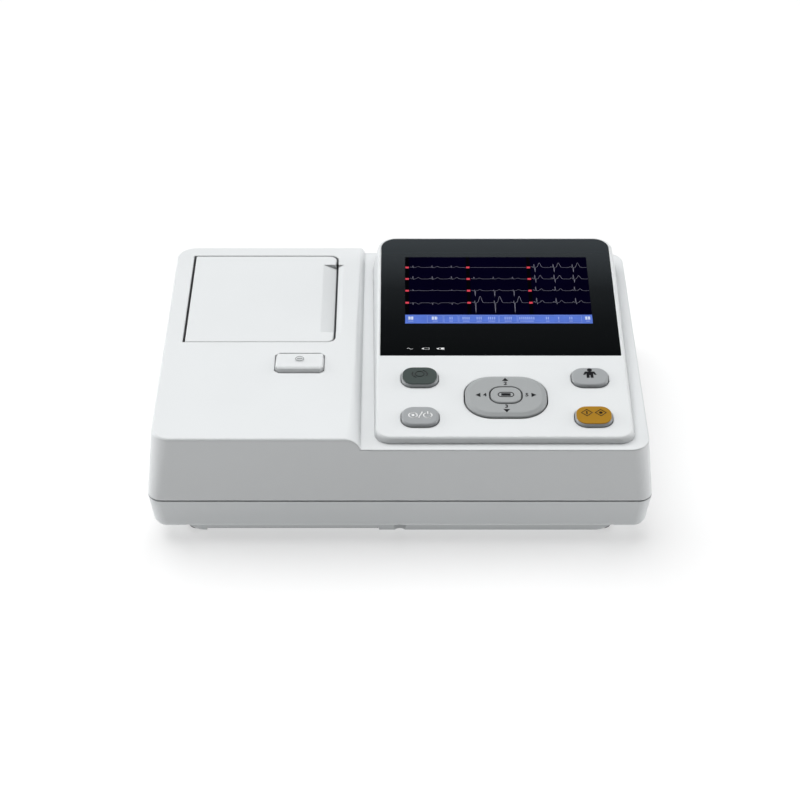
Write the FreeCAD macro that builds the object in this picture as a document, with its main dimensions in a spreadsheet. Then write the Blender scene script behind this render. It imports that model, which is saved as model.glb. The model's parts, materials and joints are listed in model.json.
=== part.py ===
"""Desktop electrocardiograph with a built-in strip recorder, as a parametric assembly in millimetres.

+X points to the operator's right, +Y to the back, +Z up. The origin is on the table, under the middle
of the case. The control panel's pieces are drawn flat, with their own origin at the middle of the
panel's front edge, and are then placed on the sloping panel.
"""
import FreeCAD, Part
import math
import os
import re
import Sketcher

SIZES = {
    # Case
    "body_width": 277.0,
    "body_depth": 207.0,
    "side_draft": 3.5,
    "corner_top": 11.0,
    "corner_seam": 8.0,
    "case_wall": 2.5,
    "edge_round": 0.8,
    "plateau_height": 68.0,
    "seam_height": 29.0,
    "seam_gap": 0.8,
    "lip_height": 2.2,
    "lip_wall": 1.1,
    "fit_gap": 0.3,
    "overcut": 1.0,
    "weld": 0.5,
    # Step from the recorder's plateau down to the deck
    "step_foot": 21.4,
    "step_front": 6.6,
    "step_back": 4.0,
    "step_round": 9.1,
    # Lower housing and plinth
    "rim_height": 8.0,
    "rim_inset": 2.0,
    "rim_round": 5.5,
    "plinth_clearance": 2.5,
    "plinth_side_inset": 12.5,
    "plinth_front_inset": 6.5,
    "plinth_side_slope": 6.0,
    "plinth_front_slope": 2.0,
    "plinth_corner": 12.0,
    "foot_radius": 5.5,
    "foot_bevel": 1.0,
    "foot_inset_x": 25.0,
    "foot_inset_y": 17.5,
    "vent_width": 2.4,
    "vent_length": 34.0,
    "vent_pitch": 6.0,
    "vent_inset": 24.0,
    # Case screws
    "screw_side_inset": 21.5,
    "screw_end_inset": 6.5,
    "screw_radius": 1.5,
    "screw_head_radius": 2.9,
    "screw_head_height": 2.0,
    "cover_head_height": 1.2,
    "cover_head_radius": 2.5,
    "cover_screw_length": 6.0,
    "cover_boss_height": 8.0,
    "counterbore_radius": 3.4,
    "counterbore_depth": 14.0,
    "boss_wall": 1.9,
    "pilot_depth": 12.0,
    "screw_reach": 11.0,
    # Battery bay
    "cover_left_inset": 31.5,
    "cover_width": 95.0,
    "cover_depth": 62.0,
    "cover_thickness": 2.0,
    "cover_front_setback": 1.5,
    "cover_ledge": 4.0,
    "cover_screw_inset": 4.0,
    "bay_wall": 2.0,
    "pack_height": 20.0,
    "pack_corner": 3.0,
    "grip_length": 30.0,
    "grip_pitch": 4.0,
    "grip_depth": 0.6,
    # Paper door
    "door_left_inset": 15.1,
    "door_back_inset": 13.7,
    "door_width": 85.2,
    "door_depth": 94.1,
    "door_thickness": 3.0,
    "door_corner": 4.5,
    "door_hinge_corner": 1.0,
    "door_gap": 0.4,
    "slit_width": 1.3,
    "slit_corner": 0.6,
    "scoop_gap": 1.2,
    "scoop_length": 74.0,
    "scoop_door_run": 7.7,
    "scoop_case_run": 3.3,
    "scoop_depth": 3.2,
    "scoop_case_depth": 2.0,
    "scoop_backing": 2.0,
    "skirt_wall": 2.2,
    "skirt_depth": 4.5,
    "rib_width": 1.4,
    "rib_depth": 1.6,
    "rib_start": 6.0,
    "rib_pitch": 20.0,
    "rib_inset": 8.0,
    "hinge_inset": 4.0,
    "hinge_depth": 1.8,
    "hinge_pin_radius": 0.9,
    "hinge_pin_length": 2.0,
    "shaft_fit": 0.05,
    # Door release
    "button_right_inset": 4.9,
    "button_width": 27.2,
    "button_depth": 19.5,
    "button_setback": 12.2,
    "button_rise": 2.6,
    "button_front_run": 1.8,
    "button_travel": 2.5,
    "button_gap": 0.45,
    "button_flange": 1.4,
    "button_skirt": 3.0,
    "button_corner": 2.6,
    "button_back_rise": 0.3,
    "wedge_width": 4.0,
    "wedge_tip": 1.5,
    "latch_width": 8.0,
    "latch_height": 4.0,
    "latch_tip": 0.45,
    "latch_nose": 1.2,
    "latch_front_wall": 3.0,
    "latch_spring_length": 6.0,
    "latch_spring_radius": 1.8,
    "latch_shelf_wall": 3.0,
    "tab_thickness": 1.8,
    "tab_margin": 1.2,
    # Paper tray and roll
    "tray_wall": 2.0,
    "roll_radius": 22.0,
    "roll_clearance": 2.0,
    "roll_width": 80.0,
    "core_radius": 6.3,
    "journal_radius": 3.0,
    "journal_setback": 0.5,
    "spindle_flange": 1.5,
    "spindle_flange_rise": 4.0,
    "roll_axis_height": 39.5,
    "tray_left_margin": 5.1,
    "mechanism_floor": 29.0,
    # Print mechanism
    "platen_radius": 6.0,
    "platen_length": 82.0,
    "platen_shaft_radius": 2.5,
    "platen_inset": 16.4,
    "platen_height": 52.0,
    "bush_radius": 4.0,
    "shaft_overhang": 1.0,
    "gear_module": 0.8,
    "platen_teeth": 24,
    "pinion_teeth": 12,
    "tooth_root": 1.25,
    "tooth_root_share": 0.62,
    "tooth_crest": 0.9,
    "tooth_crest_share": 0.22,
    "gear_width": 3.0,
    "gear_offset": 0.8,
    "motor_radius": 12.5,
    "motor_length": 15.0,
    "motor_shaft_radius": 1.0,
    "motor_wall": 1.5,
    "magnet_radius": 8.0,
    "magnet_length": 10.0,
    "bracket_thickness": 1.2,
    "bracket_ear": 4.0,
    "bracket_height": 17.0,
    "bracket_foot": 3.0,
    "paper_gap": 0.35,
    "head_thickness": 1.5,
    "head_height": 12.0,
    "sink_thickness": 5.0,
    "sink_height": 26.0,
    "sink_top": 59.0,
    "fin_gap": 2.0,
    "fin_depth": 2.4,
    "pivot_radius": 1.5,
    "pivot_rise": 3.0,
    "spring_radius": 3.0,
    "spring_wire": 0.6,
    "spring_spread": 44.0,
    "tear_thickness": 0.5,
    "tear_height": 2.0,
    "sensor_gap": 2.0,
    "sensor_length": 6.0,
    "sensor_width": 10.0,
    # Control panel, in its own tilted frame
    "panel_x": 57.0,
    "panel_front_inset": 5.4,
    "panel_front_rise": 3.9,
    "panel_tilt": 4.7,
    "panel_width": 140.0,
    "panel_length": 186.0,
    "panel_front_corner": 8.0,
    "panel_back_corner": 10.5,
    "panel_flare": 0.21,
    "panel_skirt": 34.0,
    "panel_wall": 3.0,
    "panel_seat": 6.0,
    "window_width": 136.3,
    "window_start": 71.4,
    "window_length": 113.0,
    "window_corner": 9.0,
    "window_front_corner": 0.5,
    "window_thickness": 1.5,
    "window_bond": 0.1,
    "screen_width": 108.0,
    "screen_length": 64.8,
    "screen_middle": 133.4,
    "screen_margin": 1.0,
    "module_border_x": 6.4,
    "module_border_y": 5.5,
    "module_thickness": 5.0,
    "module_bezel": 0.6,
    # Keys
    "keys_x": 1.5,
    "key_spread": 47.5,
    "key_width": 20.6,
    "key_depth": 16.0,
    "key_corner": 6.6,
    "key_rise": 2.0,
    "key_round": 0.8,
    "key_gap": 0.4,
    "key_flange": 1.0,
    "key_front_middle": 16.6,
    "key_back_middle": 50.7,
    "key_stem_width": 5.0,
    "key_stem_length": 2.0,
    "key_board_margin": 2.5,
    "inlay_margin": 1.1,
    "inlay_thickness": 0.7,
    "inlay_recess": 0.4,
    "pad_width": 45.3,
    "pad_depth": 35.2,
    "pad_corner": 15.0,
    "pad_middle": 34.0,
    "pad_edge_round": 1.2,
    "pad_gap": 0.6,
    "enter_width": 17.1,
    "enter_depth": 13.8,
    "enter_corner": 5.8,
    "enter_gap": 0.65,
    "enter_lift": 0.3,
    "enter_dome": 3.0,
    "ring_outer": 14.0,
    "ring_inner": 11.0,
    "ring_height": 4.0,
    "ring_drop": 8.0,
    "trunnion_radius": 1.0,
    "trunnion_length": 3.0,
    "trunnion_cover": 1.6,
    "post_thickness": 2.4,
    "post_width": 6.0,
    "post_cover": 2.2,
    "bracket_base": 1.0,
    "board_drop": 13.0,
    "board_thickness": 1.6,
    "mat_thickness": 1.0,
    "dome_width": 8.0,
    # Electronics
    "standoff_height": 6.0,
    "standoff_radius": 3.0,
    "board_bay_gap": 5.5,
    "board_gap": 16.0,
    "main_board_front": 16.0,
    "power_board_depth": 42.0,
    "board_margin": 4.0,
    "chip_size": 16.0,
    "chip_height": 2.0,
    "transformer_width": 34.0,
    "transformer_depth": 28.0,
    "transformer_height": 12.0,
    # Sockets
    "socket_height": 46.5,
    "socket_recess_half": 12.5,
    "socket_recess_depth": 2.7,
    "socket_pad": 4.8,
    "side_recess_half": 9.0,
    "recess_x": 8.0,
    "recess_margin": 2.0,
    "panel_flange": 1.5,
    "socket_clearance": 0.2,
    "inlet_x": 93.0,
    "inlet_width": 27.2,
    "inlet_height": 19.6,
    "inlet_depth": 25.0,
    "inlet_wall": 1.5,
    "inlet_cavity_depth": 17.0,
    "inlet_bevel": 3.9,
    "blade_width": 4.0,
    "blade_thickness": 2.0,
    "blade_length": 14.0,
    "blade_spread": 7.0,
    "blade_lift": 2.0,
    "earth_x": 66.0,
    "earth_pin_radius": 3.0,
    "earth_pin_length": 9.0,
    "earth_nut_radius": 5.0,
    "earth_nut_height": 2.0,
    "earth_cup_radius": 9.5,
    "earth_cup_wall": 1.2,
    "earth_pin_setback": 1.7,
    "network_x": 40.0,
    "network_width": 15.6,
    "network_height": 13.2,
    "network_depth": 21.0,
    "network_cavity_width": 11.8,
    "network_cavity_height": 8.2,
    "network_cavity_depth": 14.0,
    "usb_x": 18.0,
    "usb_width": 14.2,
    "usb_height": 6.8,
    "usb_depth": 14.0,
    "usb_wall": 0.7,
    "usb_cavity_depth": 11.0,
    "usb_tongue": 1.9,
    "patient_y": 20.0,
    "patient_width": 25.0,
    "patient_height": 8.4,
    "patient_slant": 1.4,
    "patient_depth": 10.0,
    "patient_flange_width": 39.2,
    "patient_flange_height": 12.5,
    "patient_flange": 1.2,
    "jack_spacing": 33.3,
    "jack_radius": 2.6,
    "jack_length": 5.0,
    "jack_thread_radius": 1.3,
}

# Values worked out from the driving sizes
DERIVED = {
    "half_width": "body_width / 2",
    "half_depth": "body_depth / 2",
    "top_half_width": "half_width - side_draft",
    "top_half_depth": "half_depth - side_draft",
    "upper_foot": "seam_height + seam_gap / 2",
    "lower_top": "seam_height - seam_gap / 2",
    "top_under": "plateau_height - case_wall",
    "deck_slope": "(step_front - step_back) / (2 * top_half_depth)",
    "deck_front": "plateau_height - step_front",
    "rim_floor": "rim_height + case_wall",
    "plinth_floor": "plinth_clearance + case_wall",
    "plinth_half_width": "half_width - plinth_side_inset",
    "plinth_half_depth": "half_depth - plinth_front_inset",
    "plinth_bottom_half_width": "plinth_half_width - plinth_side_slope",
    "plinth_bottom_half_depth": "plinth_half_depth - plinth_front_slope",
    "screw_x": "half_width - screw_side_inset",
    "screw_y": "half_depth - screw_end_inset",
    "boss_radius": "counterbore_radius + boss_wall",
    "screw_seat": "plinth_clearance + counterbore_depth",
    "cover_x": "cover_left_inset - half_width",
    "cover_front": "cover_front_setback - plinth_bottom_half_depth",
    "cover_back": "cover_front + cover_depth",
    "cover_end_x": "cover_x + cover_width",
    "cover_top": "plinth_clearance + cover_thickness",
    "thread_radius": "screw_radius - fit_gap / 3",
    "door_x": "door_left_inset - half_width",
    "door_end_x": "door_x + door_width",
    "door_back": "half_depth - door_back_inset",
    "door_front": "door_back - door_depth",
    "door_middle": "door_back - door_depth / 2",
    "door_under": "plateau_height - door_thickness",
    "hole_x": "door_x - slit_width",
    "hole_end_x": "door_end_x + scoop_gap",
    "hole_front": "door_front - door_gap",
    "hole_back": "door_back + door_gap",
    "skirt_foot": "top_under - skirt_depth",
    "hinge_x": "door_x + hinge_inset",
    "hinge_z": "plateau_height - hinge_depth",
    "scoop_front": "door_middle - scoop_length / 2",
    "button_end_x": "door_end_x - button_right_inset",
    "button_x": "button_end_x - button_width",
    "button_middle_x": "button_end_x - button_width / 2",
    "button_back": "door_front - button_setback",
    "button_front": "button_back - button_depth",
    "button_foot": "top_under - button_skirt",
    "latch_top": "button_foot - button_travel - fit_gap",
    "latch_foot": "latch_top - latch_height",
    "wedge_y": "button_back - button_depth / 2",
    "wedge_foot": "latch_foot + button_travel + fit_gap",
    "ramp_gap": "fit_gap * sqrt(2)",
    "ramp_y": "wedge_y - (latch_top - wedge_foot) - ramp_gap",
    "latch_front": "ramp_y - latch_front_wall",
    "latch_end": "door_front + latch_tip - fit_gap",
    "tray_front": "hole_front - tray_wall",
    "tray_back": "hole_back + tray_wall",
    "tray_x": "hole_x - tray_left_margin",
    "trough_radius": "roll_radius + roll_clearance",
    "roll_x": "hole_end_x - skirt_wall - trough_radius",
    "roll_front": "door_middle - roll_width / 2",
    "platen_x": "door_x + platen_inset",
    "platen_front": "door_middle - platen_length / 2",
    "gear_back": "tray_front - gear_offset",
    "gear_front": "gear_back - gear_width",
    "platen_gear_radius": "gear_module * platen_teeth / 2",
    "pinion_radius": "gear_module * pinion_teeth / 2",
    "motor_x": "platen_x + platen_gear_radius + pinion_radius",
    "bracket_back": "gear_front - gear_offset",
    "bracket_front": "bracket_back - bracket_thickness",
    "head_face": "platen_x - platen_radius - paper_gap",
    "head_back": "head_face - head_thickness",
    "sink_back": "head_back - sink_thickness",
    "sink_foot": "sink_top - sink_height",
    "pivot_x": "head_back - sink_thickness / 2",
    "pivot_z": "sink_foot + pivot_rise",
    "panel_y": "panel_front_inset - top_half_depth",
    "panel_z": "deck_front + deck_slope * panel_front_inset + panel_front_rise",
    "panel_half": "panel_width / 2",
    "window_floor": "window_thickness + window_bond",
    "module_top": "panel_wall + window_bond",
    "board_top": "board_drop - mat_thickness",
    "pad_under": "panel_wall - key_flange",
    "key_foot": "panel_wall + 2 * key_flange",
    "key_stem_foot": "key_foot + key_stem_length",
    "enter_rise": "key_rise + enter_lift",
    "enter_stem_foot": "board_top - enter_dome",
    "main_board_x": "cover_end_x + board_bay_gap",
    "main_board_width": "half_width - wall_room - main_board_x",
    "main_board_y": "main_board_front - half_depth",
    "main_board_z": "plinth_floor + standoff_height",
    "wall_room": "case_wall + plinth_side_inset",
    "power_board_back": "plinth_half_depth - plinth_front_slope - case_wall - board_margin",
    "power_board_front": "power_board_back - power_board_depth",
    "main_board_depth": "power_board_front - board_gap - main_board_y",
    "chip_pitch": "(main_board_width - chip_size) / 3",
    "rear_face": "half_depth - socket_recess_depth",
    "side_face": "half_width - socket_recess_depth",
    "recess_end_x": "inlet_x + inlet_width / 2 + recess_margin",
    "plate_back": "rear_face - socket_pad",
    "plate_seat": "plate_back + panel_flange",
    "motor_back": "bracket_front - motor_length",
    "magnet_front": "motor_back + motor_wall + fit_gap",
    "earth_floor": "rear_face - earth_pin_length - earth_nut_height + earth_pin_setback",
}

# Counts and outlines shared by several pieces
TOUCH = 1e-4
RIM_ANGLES = (90, 67.5, 45, 22.5, 0)
HEXAGON = 6
OCTAGON = 8
VENTS = 5
GRIP_LINES = 3
DOOR_RIBS = 3
SINK_GROOVES = 2
CHIPS = 3
HALF_TOOTH = 0.5
INLAID_KEYS = ("mode_key", "start_key")
KEY = ("key_width", "key_depth", "key_corner")
PAD = ("pad_width", "pad_depth", "pad_corner")
ENTER = ("enter_width", "enter_depth", "enter_corner")
PAD_AT = ("keys_x", "pad_middle")

doc = FreeCAD.newDocument("electrocardiograph")
sheet = doc.addObject("Spreadsheet::Sheet", "dims")
for row, (alias, value) in enumerate(SIZES.items(), 1):
    sheet.set(f"A{row}", alias)
    sheet.set(f"B{row}", str(value))
    sheet.setAlias(f"B{row}", alias)
doc.recompute()

nodes = []


def expr(text):
    """Write a formula of named sizes as an expression on the sheet's cells."""
    def swap(word):
        name = word.group()
        if name in SIZES:
            return "dims." + name
        if name in DERIVED:
            return "(" + expr(DERIVED[name]) + ")"
        return name
    return re.sub(r"[a-z_]+", swap, str(text))


def number(text):
    return float(sheet.evalExpression(expr(text)))


def bind(thing, path, text):
    thing.setExpression(path, expr(text))


def node(thing, name):
    """Register a finished sub-part under the name of its file."""
    thing.Label = name
    nodes.append(thing)
    return thing


def on_panel(thing):
    """Move a sub-part drawn flat onto the tilted control panel."""
    thing.Placement = FreeCAD.Placement(FreeCAD.Vector(), FreeCAD.Rotation(FreeCAD.Vector(1, 0, 0), 1))
    bind(thing, "Placement.Base.x", "panel_x")
    bind(thing, "Placement.Base.y", "panel_y")
    bind(thing, "Placement.Base.z", "panel_z")
    bind(thing, "Placement.Rotation.Angle", "panel_tilt")
    return thing


# Spans along an axis, each a pair of formulas

def around(middle, width):
    return f"({middle}) - ({width}) / 2", f"({middle}) + ({width}) / 2"


def upward(low, length):
    return low, f"({low}) + ({length})"


def grown(span, gap):
    return f"({span[0]}) - ({gap})", f"({span[1]}) + ({gap})"


# Solids bound to the sheet

def place(thing, x, y, z):
    for letter, text in zip("xyz", (x, y, z)):
        bind(thing, f"Placement.Base.{letter}", text)
    return thing


def box(name, x, y, z):
    """A block between two planes along each axis."""
    block = doc.addObject("Part::Box", name)
    for side, (low, high) in zip(("Length", "Width", "Height"), (x, y, z)):
        bind(block, side, f"({high}) - ({low})")
    return place(block, x[0], y[0], z[0])


TURNS = {
    "x": FreeCAD.Rotation(FreeCAD.Vector(0, 1, 0), 90),
    "y": FreeCAD.Rotation(FreeCAD.Vector(1, 0, 0), -90),
    "z": FreeCAD.Rotation(),
}


def rod(name, axis, centre, span, radius):
    """A cylinder along an axis; the centre gives its two other coordinates, in x, y, z order."""
    cylinder = doc.addObject("Part::Cylinder", name)
    bind(cylinder, "Radius", radius)
    bind(cylinder, "Height", f"({span[1]}) - ({span[0]})")
    cylinder.Placement = FreeCAD.Placement(FreeCAD.Vector(), TURNS[axis])
    at = list(centre)
    at.insert("xyz".index(axis), span[0])
    return place(cylinder, *at)


def prism(name, axis, centre, span, radius, sides):
    """A bar with a regular outline, placed as a cylinder is."""
    bar = doc.addObject("Part::Prism", name)
    bar.Polygon = sides
    bind(bar, "Circumradius", radius)
    bind(bar, "Height", f"({span[1]}) - ({span[0]})")
    bar.Placement = FreeCAD.Placement(FreeCAD.Vector(), TURNS[axis])
    at = list(centre)
    at.insert("xyz".index(axis), span[0])
    return place(bar, *at)


def tube(name, axis, centre, span, radius, bore):
    return cut(name, rod(name + "_outside", axis, centre, span, radius),
               rod(name + "_bore", axis, centre, span, bore))


def fuse(name, *parts):
    whole = doc.addObject("Part::MultiFuse", name)
    whole.Shapes = list(parts)
    whole.Refine = True
    return whole


def cut(name, base, *tools):
    result = doc.addObject("Part::Cut", name)
    result.Base = base
    result.Tool = tools[0] if len(tools) == 1 else fuse(name + "_tools", *tools)
    result.Refine = True
    return result


def common(name, base, tool):
    result = doc.addObject("Part::Common", name)
    result.Base = base
    result.Tool = tool
    result.Refine = True
    return result


def group(name, *parts):
    together = doc.addObject("Part::Compound", name)
    together.Links = list(parts)
    return together


# Sketches and features

def new_body(name):
    return doc.addObject("PartDesign::Body", name)


def sketch_on(body, name, role, offset="0"):
    sketch = body.newObject("Sketcher::SketchObject", name)
    support = next(f for f in body.Origin.OriginFeatures if f.Role == role)
    sketch.AttachmentSupport = [(support, "")]
    sketch.MapMode = "FlatFace"
    bind(sketch, "AttachmentOffset.Base.z", offset)
    return sketch


def dimension(sketch, kind, reference, text):
    index = sketch.addConstraint(Sketcher.Constraint(kind, *reference, number(text)))
    bind(sketch, f"Constraints[{index}]", text)


def outline(sketch, points):
    """A closed run of straight lines whose corners are all dimensioned from the origin."""
    corners = [FreeCAD.Vector(number(x), number(y), 0) for x, y in points]
    for here, there in zip(corners, corners[1:] + corners[:1]):
        sketch.addGeometry(Part.LineSegment(here, there))
    for line, (x, y) in enumerate(points):
        sketch.addConstraint(Sketcher.Constraint("Coincident", line, 2, (line + 1) % len(points), 1))
        dimension(sketch, "DistanceX", (-1, 1, line, 1), x)
        dimension(sketch, "DistanceY", (-1, 1, line, 1), y)
    return sketch


def rounded(sketch, x, y, *radii):
    """A rectangle with rounded corners: one radius, or four from the low corner anticlockwise."""
    radii = radii * 4 if len(radii) == 1 else radii
    corners = ((x[0], y[0], 1, 1), (x[1], y[0], -1, 1), (x[1], y[1], -1, -1), (x[0], y[1], 1, -1))
    arcs = []
    for (cx, cy, dx, dy), radius, quarter in zip(corners, radii, (2, 3, 0, 1)):
        size = number(radius)
        centre = FreeCAD.Vector(number(cx) + dx * size, number(cy) + dy * size, 0)
        ring = Part.Circle(centre, FreeCAD.Vector(0, 0, 1), size)
        arcs.append(Part.ArcOfCircle(ring, quarter * math.pi / 2, (quarter + 1) * math.pi / 2))
    for here, there in zip(arcs, arcs[1:] + arcs[:1]):
        sketch.addGeometry(here)
        sketch.addGeometry(Part.LineSegment(here.EndPoint, there.StartPoint))
    for corner, radius in enumerate(radii):
        curve, line, following = 2 * corner, 2 * corner + 1, 2 * ((corner + 1) % 4)
        sketch.addConstraint(Sketcher.Constraint("Tangent", curve, 2, line, 1))
        sketch.addConstraint(Sketcher.Constraint("Tangent", line, 2, following, 1))
        sketch.addConstraint(Sketcher.Constraint(("Horizontal", "Vertical")[corner % 2], line))
        dimension(sketch, "Radius", (curve,), radius)
    for line, kind, text in ((1, "DistanceY", y[0]), (3, "DistanceX", x[1]),
                             (5, "DistanceY", y[1]), (7, "DistanceX", x[0])):
        dimension(sketch, kind, (-1, 1, line, 1), text)
    return sketch


def feature(body, kind, sketch, length, reverse=False):
    step = body.newObject("PartDesign::" + kind, sketch.Name + "_" + kind.lower())
    step.Profile = sketch
    step.Reversed = reverse
    bind(step, "Length", length)
    return step


def loft(body, *sketches):
    step = body.newObject("PartDesign::AdditiveLoft", body.Name + "_loft")
    step.Profile = sketches[0]
    step.Sections = list(sketches[1:])
    step.Ruled = True
    return step


def bevel_edges(body, size, wanted):
    """Bevel the edges of the body's last feature that pass a test on their bounding box."""
    doc.recompute()
    base = body.Tip
    names = [f"Edge{i}" for i, edge in enumerate(base.Shape.Edges, 1) if wanted(edge.BoundBox)]
    bevel = body.newObject("PartDesign::Chamfer", body.Name + "_bevel")
    bevel.Base = (base, names)
    bind(bevel, "Size", size)
    return bevel


def near(a, text):
    return abs(a - number(text)) < TOUCH


def lofted_block(name, *sections):
    """A tapering block through rounded rectangles, each given as half sizes, radius and height."""
    body = new_body(name)
    sketches = []
    for level, (half_x, half_y, radius, height) in enumerate(sections):
        sketch = sketch_on(body, f"{name}_{level}", "XY_Plane", height)
        rounded(sketch, (f"-({half_x})", half_x), (f"-({half_y})", half_y), radius)
        sketches.append(sketch)
    loft(body, *sketches)
    return body


# Case

def step_profile(sketch, inset):
    """The region cut off the case beside the plateau: a rounded shoulder that falls to a flat deck."""
    foot, top = f"-step_foot - {inset}", f"plateau_height - {inset}"
    deck = f"(deck_front - {inset}) / sqrt(1 + deck_slope ^ 2)"
    shoulder = f"{foot} - sqrt(step_round ^ 2 - (step_round - step_front) ^ 2)"
    far, above = "half_width + corner_top", f"{top} + step_front"
    points = [(foot, deck), (far, deck), (far, above), (shoulder, above), (shoulder, top)]
    corners = [FreeCAD.Vector(number(x), number(z), 0) for x, z in points]
    for here, there in zip(corners, corners[1:]):
        sketch.addGeometry(Part.LineSegment(here, there))
    centre = FreeCAD.Vector(number(shoulder), number(f"{top} - step_round"), 0)
    ring = Part.Circle(centre, FreeCAD.Vector(0, 0, 1), number("step_round"))
    sketch.addGeometry(Part.ArcOfCircle(ring, ring.parameter(corners[0]), ring.parameter(corners[-1])))
    for line, (x, z) in enumerate(points[:4]):
        dimension(sketch, "DistanceX", (-1, 1, line, 1), x)
        dimension(sketch, "DistanceY", (-1, 1, line, 1), z)
        if line:
            sketch.addConstraint(Sketcher.Constraint("Coincident", line - 1, 2, line, 1))
    sketch.addConstraint(Sketcher.Constraint("Coincident", 3, 2, 4, 2))
    sketch.addConstraint(Sketcher.Constraint("Coincident", 4, 1, 0, 1))
    dimension(sketch, "DistanceX", (-1, 1, 4, 3), shoulder)
    dimension(sketch, "DistanceY", (-1, 1, 4, 3), f"{top} - step_round")
    dimension(sketch, "DistanceX", (-1, 1, 3, 2), shoulder)
    return sketch


def stepped_form(name, inset):
    """The upper case's form, or its hollow when inset: a tapering block with the step cut off it."""
    sections = [(f"half_width - {inset}", f"half_depth - {inset}", f"corner_seam - {inset}", "upper_foot")]
    for bevel, drop in (("0", "edge_round"), ("edge_round", "0")):
        sections.append((f"top_half_width - {inset} - {bevel}", f"top_half_depth - {inset} - {bevel}",
                         f"corner_top - {inset} - {bevel}", f"plateau_height - {inset} - {drop}"))
    body = lofted_block(name, *sections)
    sketch = sketch_on(body, name + "_step", "XZ_Plane", "top_half_depth")
    sketch.AttachmentOffset = FreeCAD.Placement(FreeCAD.Vector(), FreeCAD.Rotation(FreeCAD.Vector(1, 0, 0), 1))
    bind(sketch, "AttachmentOffset.Rotation.Angle", "atan(deck_slope)")
    step = feature(body, "Pocket", step_profile(sketch, inset), "body_depth")
    step.SideType = "Two sides"
    bind(step, "Length2", "2 * side_draft")
    return body


def screw_places():
    return [(x, y) for y in ("-(screw_y)", "screw_y") for x in ("-(screw_x)", "0", "screw_x")]


def jack_places():
    return [(f"patient_y {sign} jack_spacing / 2", "socket_height") for sign in "-+"]


def patient_outline(gap):
    """The patient socket's D shape, wider at the top."""
    low_y = grown(around("patient_y", "patient_width - 2 * patient_slant"), gap)
    high_y = grown(around("patient_y", "patient_width"), gap)
    z = grown(around("socket_height", "patient_height"), gap)
    return [(low_y[0], z[0]), (low_y[1], z[0]), (high_y[1], z[1]), (high_y[0], z[1])]


def side_openings():
    """The D-shaped cut-out of the patient socket and its two jack holes in the right wall."""
    depth = ("side_face - 2 * socket_pad", "half_width + overcut")
    body = new_body("patient_cutout")
    sketch = sketch_on(body, "patient_cutout_profile", "YZ_Plane", depth[0])
    outline(sketch, patient_outline("socket_clearance"))
    feature(body, "Pad", sketch, "4 * socket_pad")
    holes = [rod(f"jack_hole_{i}", "x", at, depth, "jack_radius + socket_clearance")
             for i, at in enumerate(jack_places())]
    return [body] + holes


def scoop_cut(name, x, left_depth, right_depth):
    """A ramp beside the door's free edge, with its depth at the left and at the right."""
    body = new_body(name)
    sketch = sketch_on(body, name + "_profile", "XZ_Plane", "-(scoop_front)")
    top = "plateau_height + overcut"
    outline(sketch, [(x[0], f"plateau_height - {left_depth}"), (x[1], f"plateau_height - {right_depth}"),
                     (x[1], top), (x[0], top)])
    feature(body, "Pad", sketch, "scoop_length", reverse=True)
    return body


def upper_fittings():
    """Everything that stands inside the upper shell: the door's skirt, the screw bosses and socket pads."""
    parts = [box("door_skirt", grown(("hole_x", "hole_end_x + scoop_case_run"), "skirt_wall"),
                 grown(("hole_front", "hole_back"), "skirt_wall"), ("skirt_foot", "top_under"))]
    for index, (x, y) in enumerate(screw_places()):
        top = "top_under" if x.startswith("-") else "deck_front - case_wall"
        parts.append(prism(f"upper_boss_{index}", "z", (x, y), ("upper_foot", f"{top} + weld"),
                           "screw_radius + boss_wall", OCTAGON))
    parts.append(box("rear_frame", grown(("recess_x", "recess_end_x"), "2 * recess_margin"),
                     ("plate_seat", "rear_face"),
                     around("socket_height", "2 * socket_recess_half + 4 * recess_margin")))
    parts.append(box("side_pad", ("side_face - socket_pad", "side_face"),
                     grown(around("patient_y", "patient_flange_width"), "2 * recess_margin"),
                     around("socket_height", "2 * (side_recess_half + recess_margin)")))
    return parts


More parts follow.
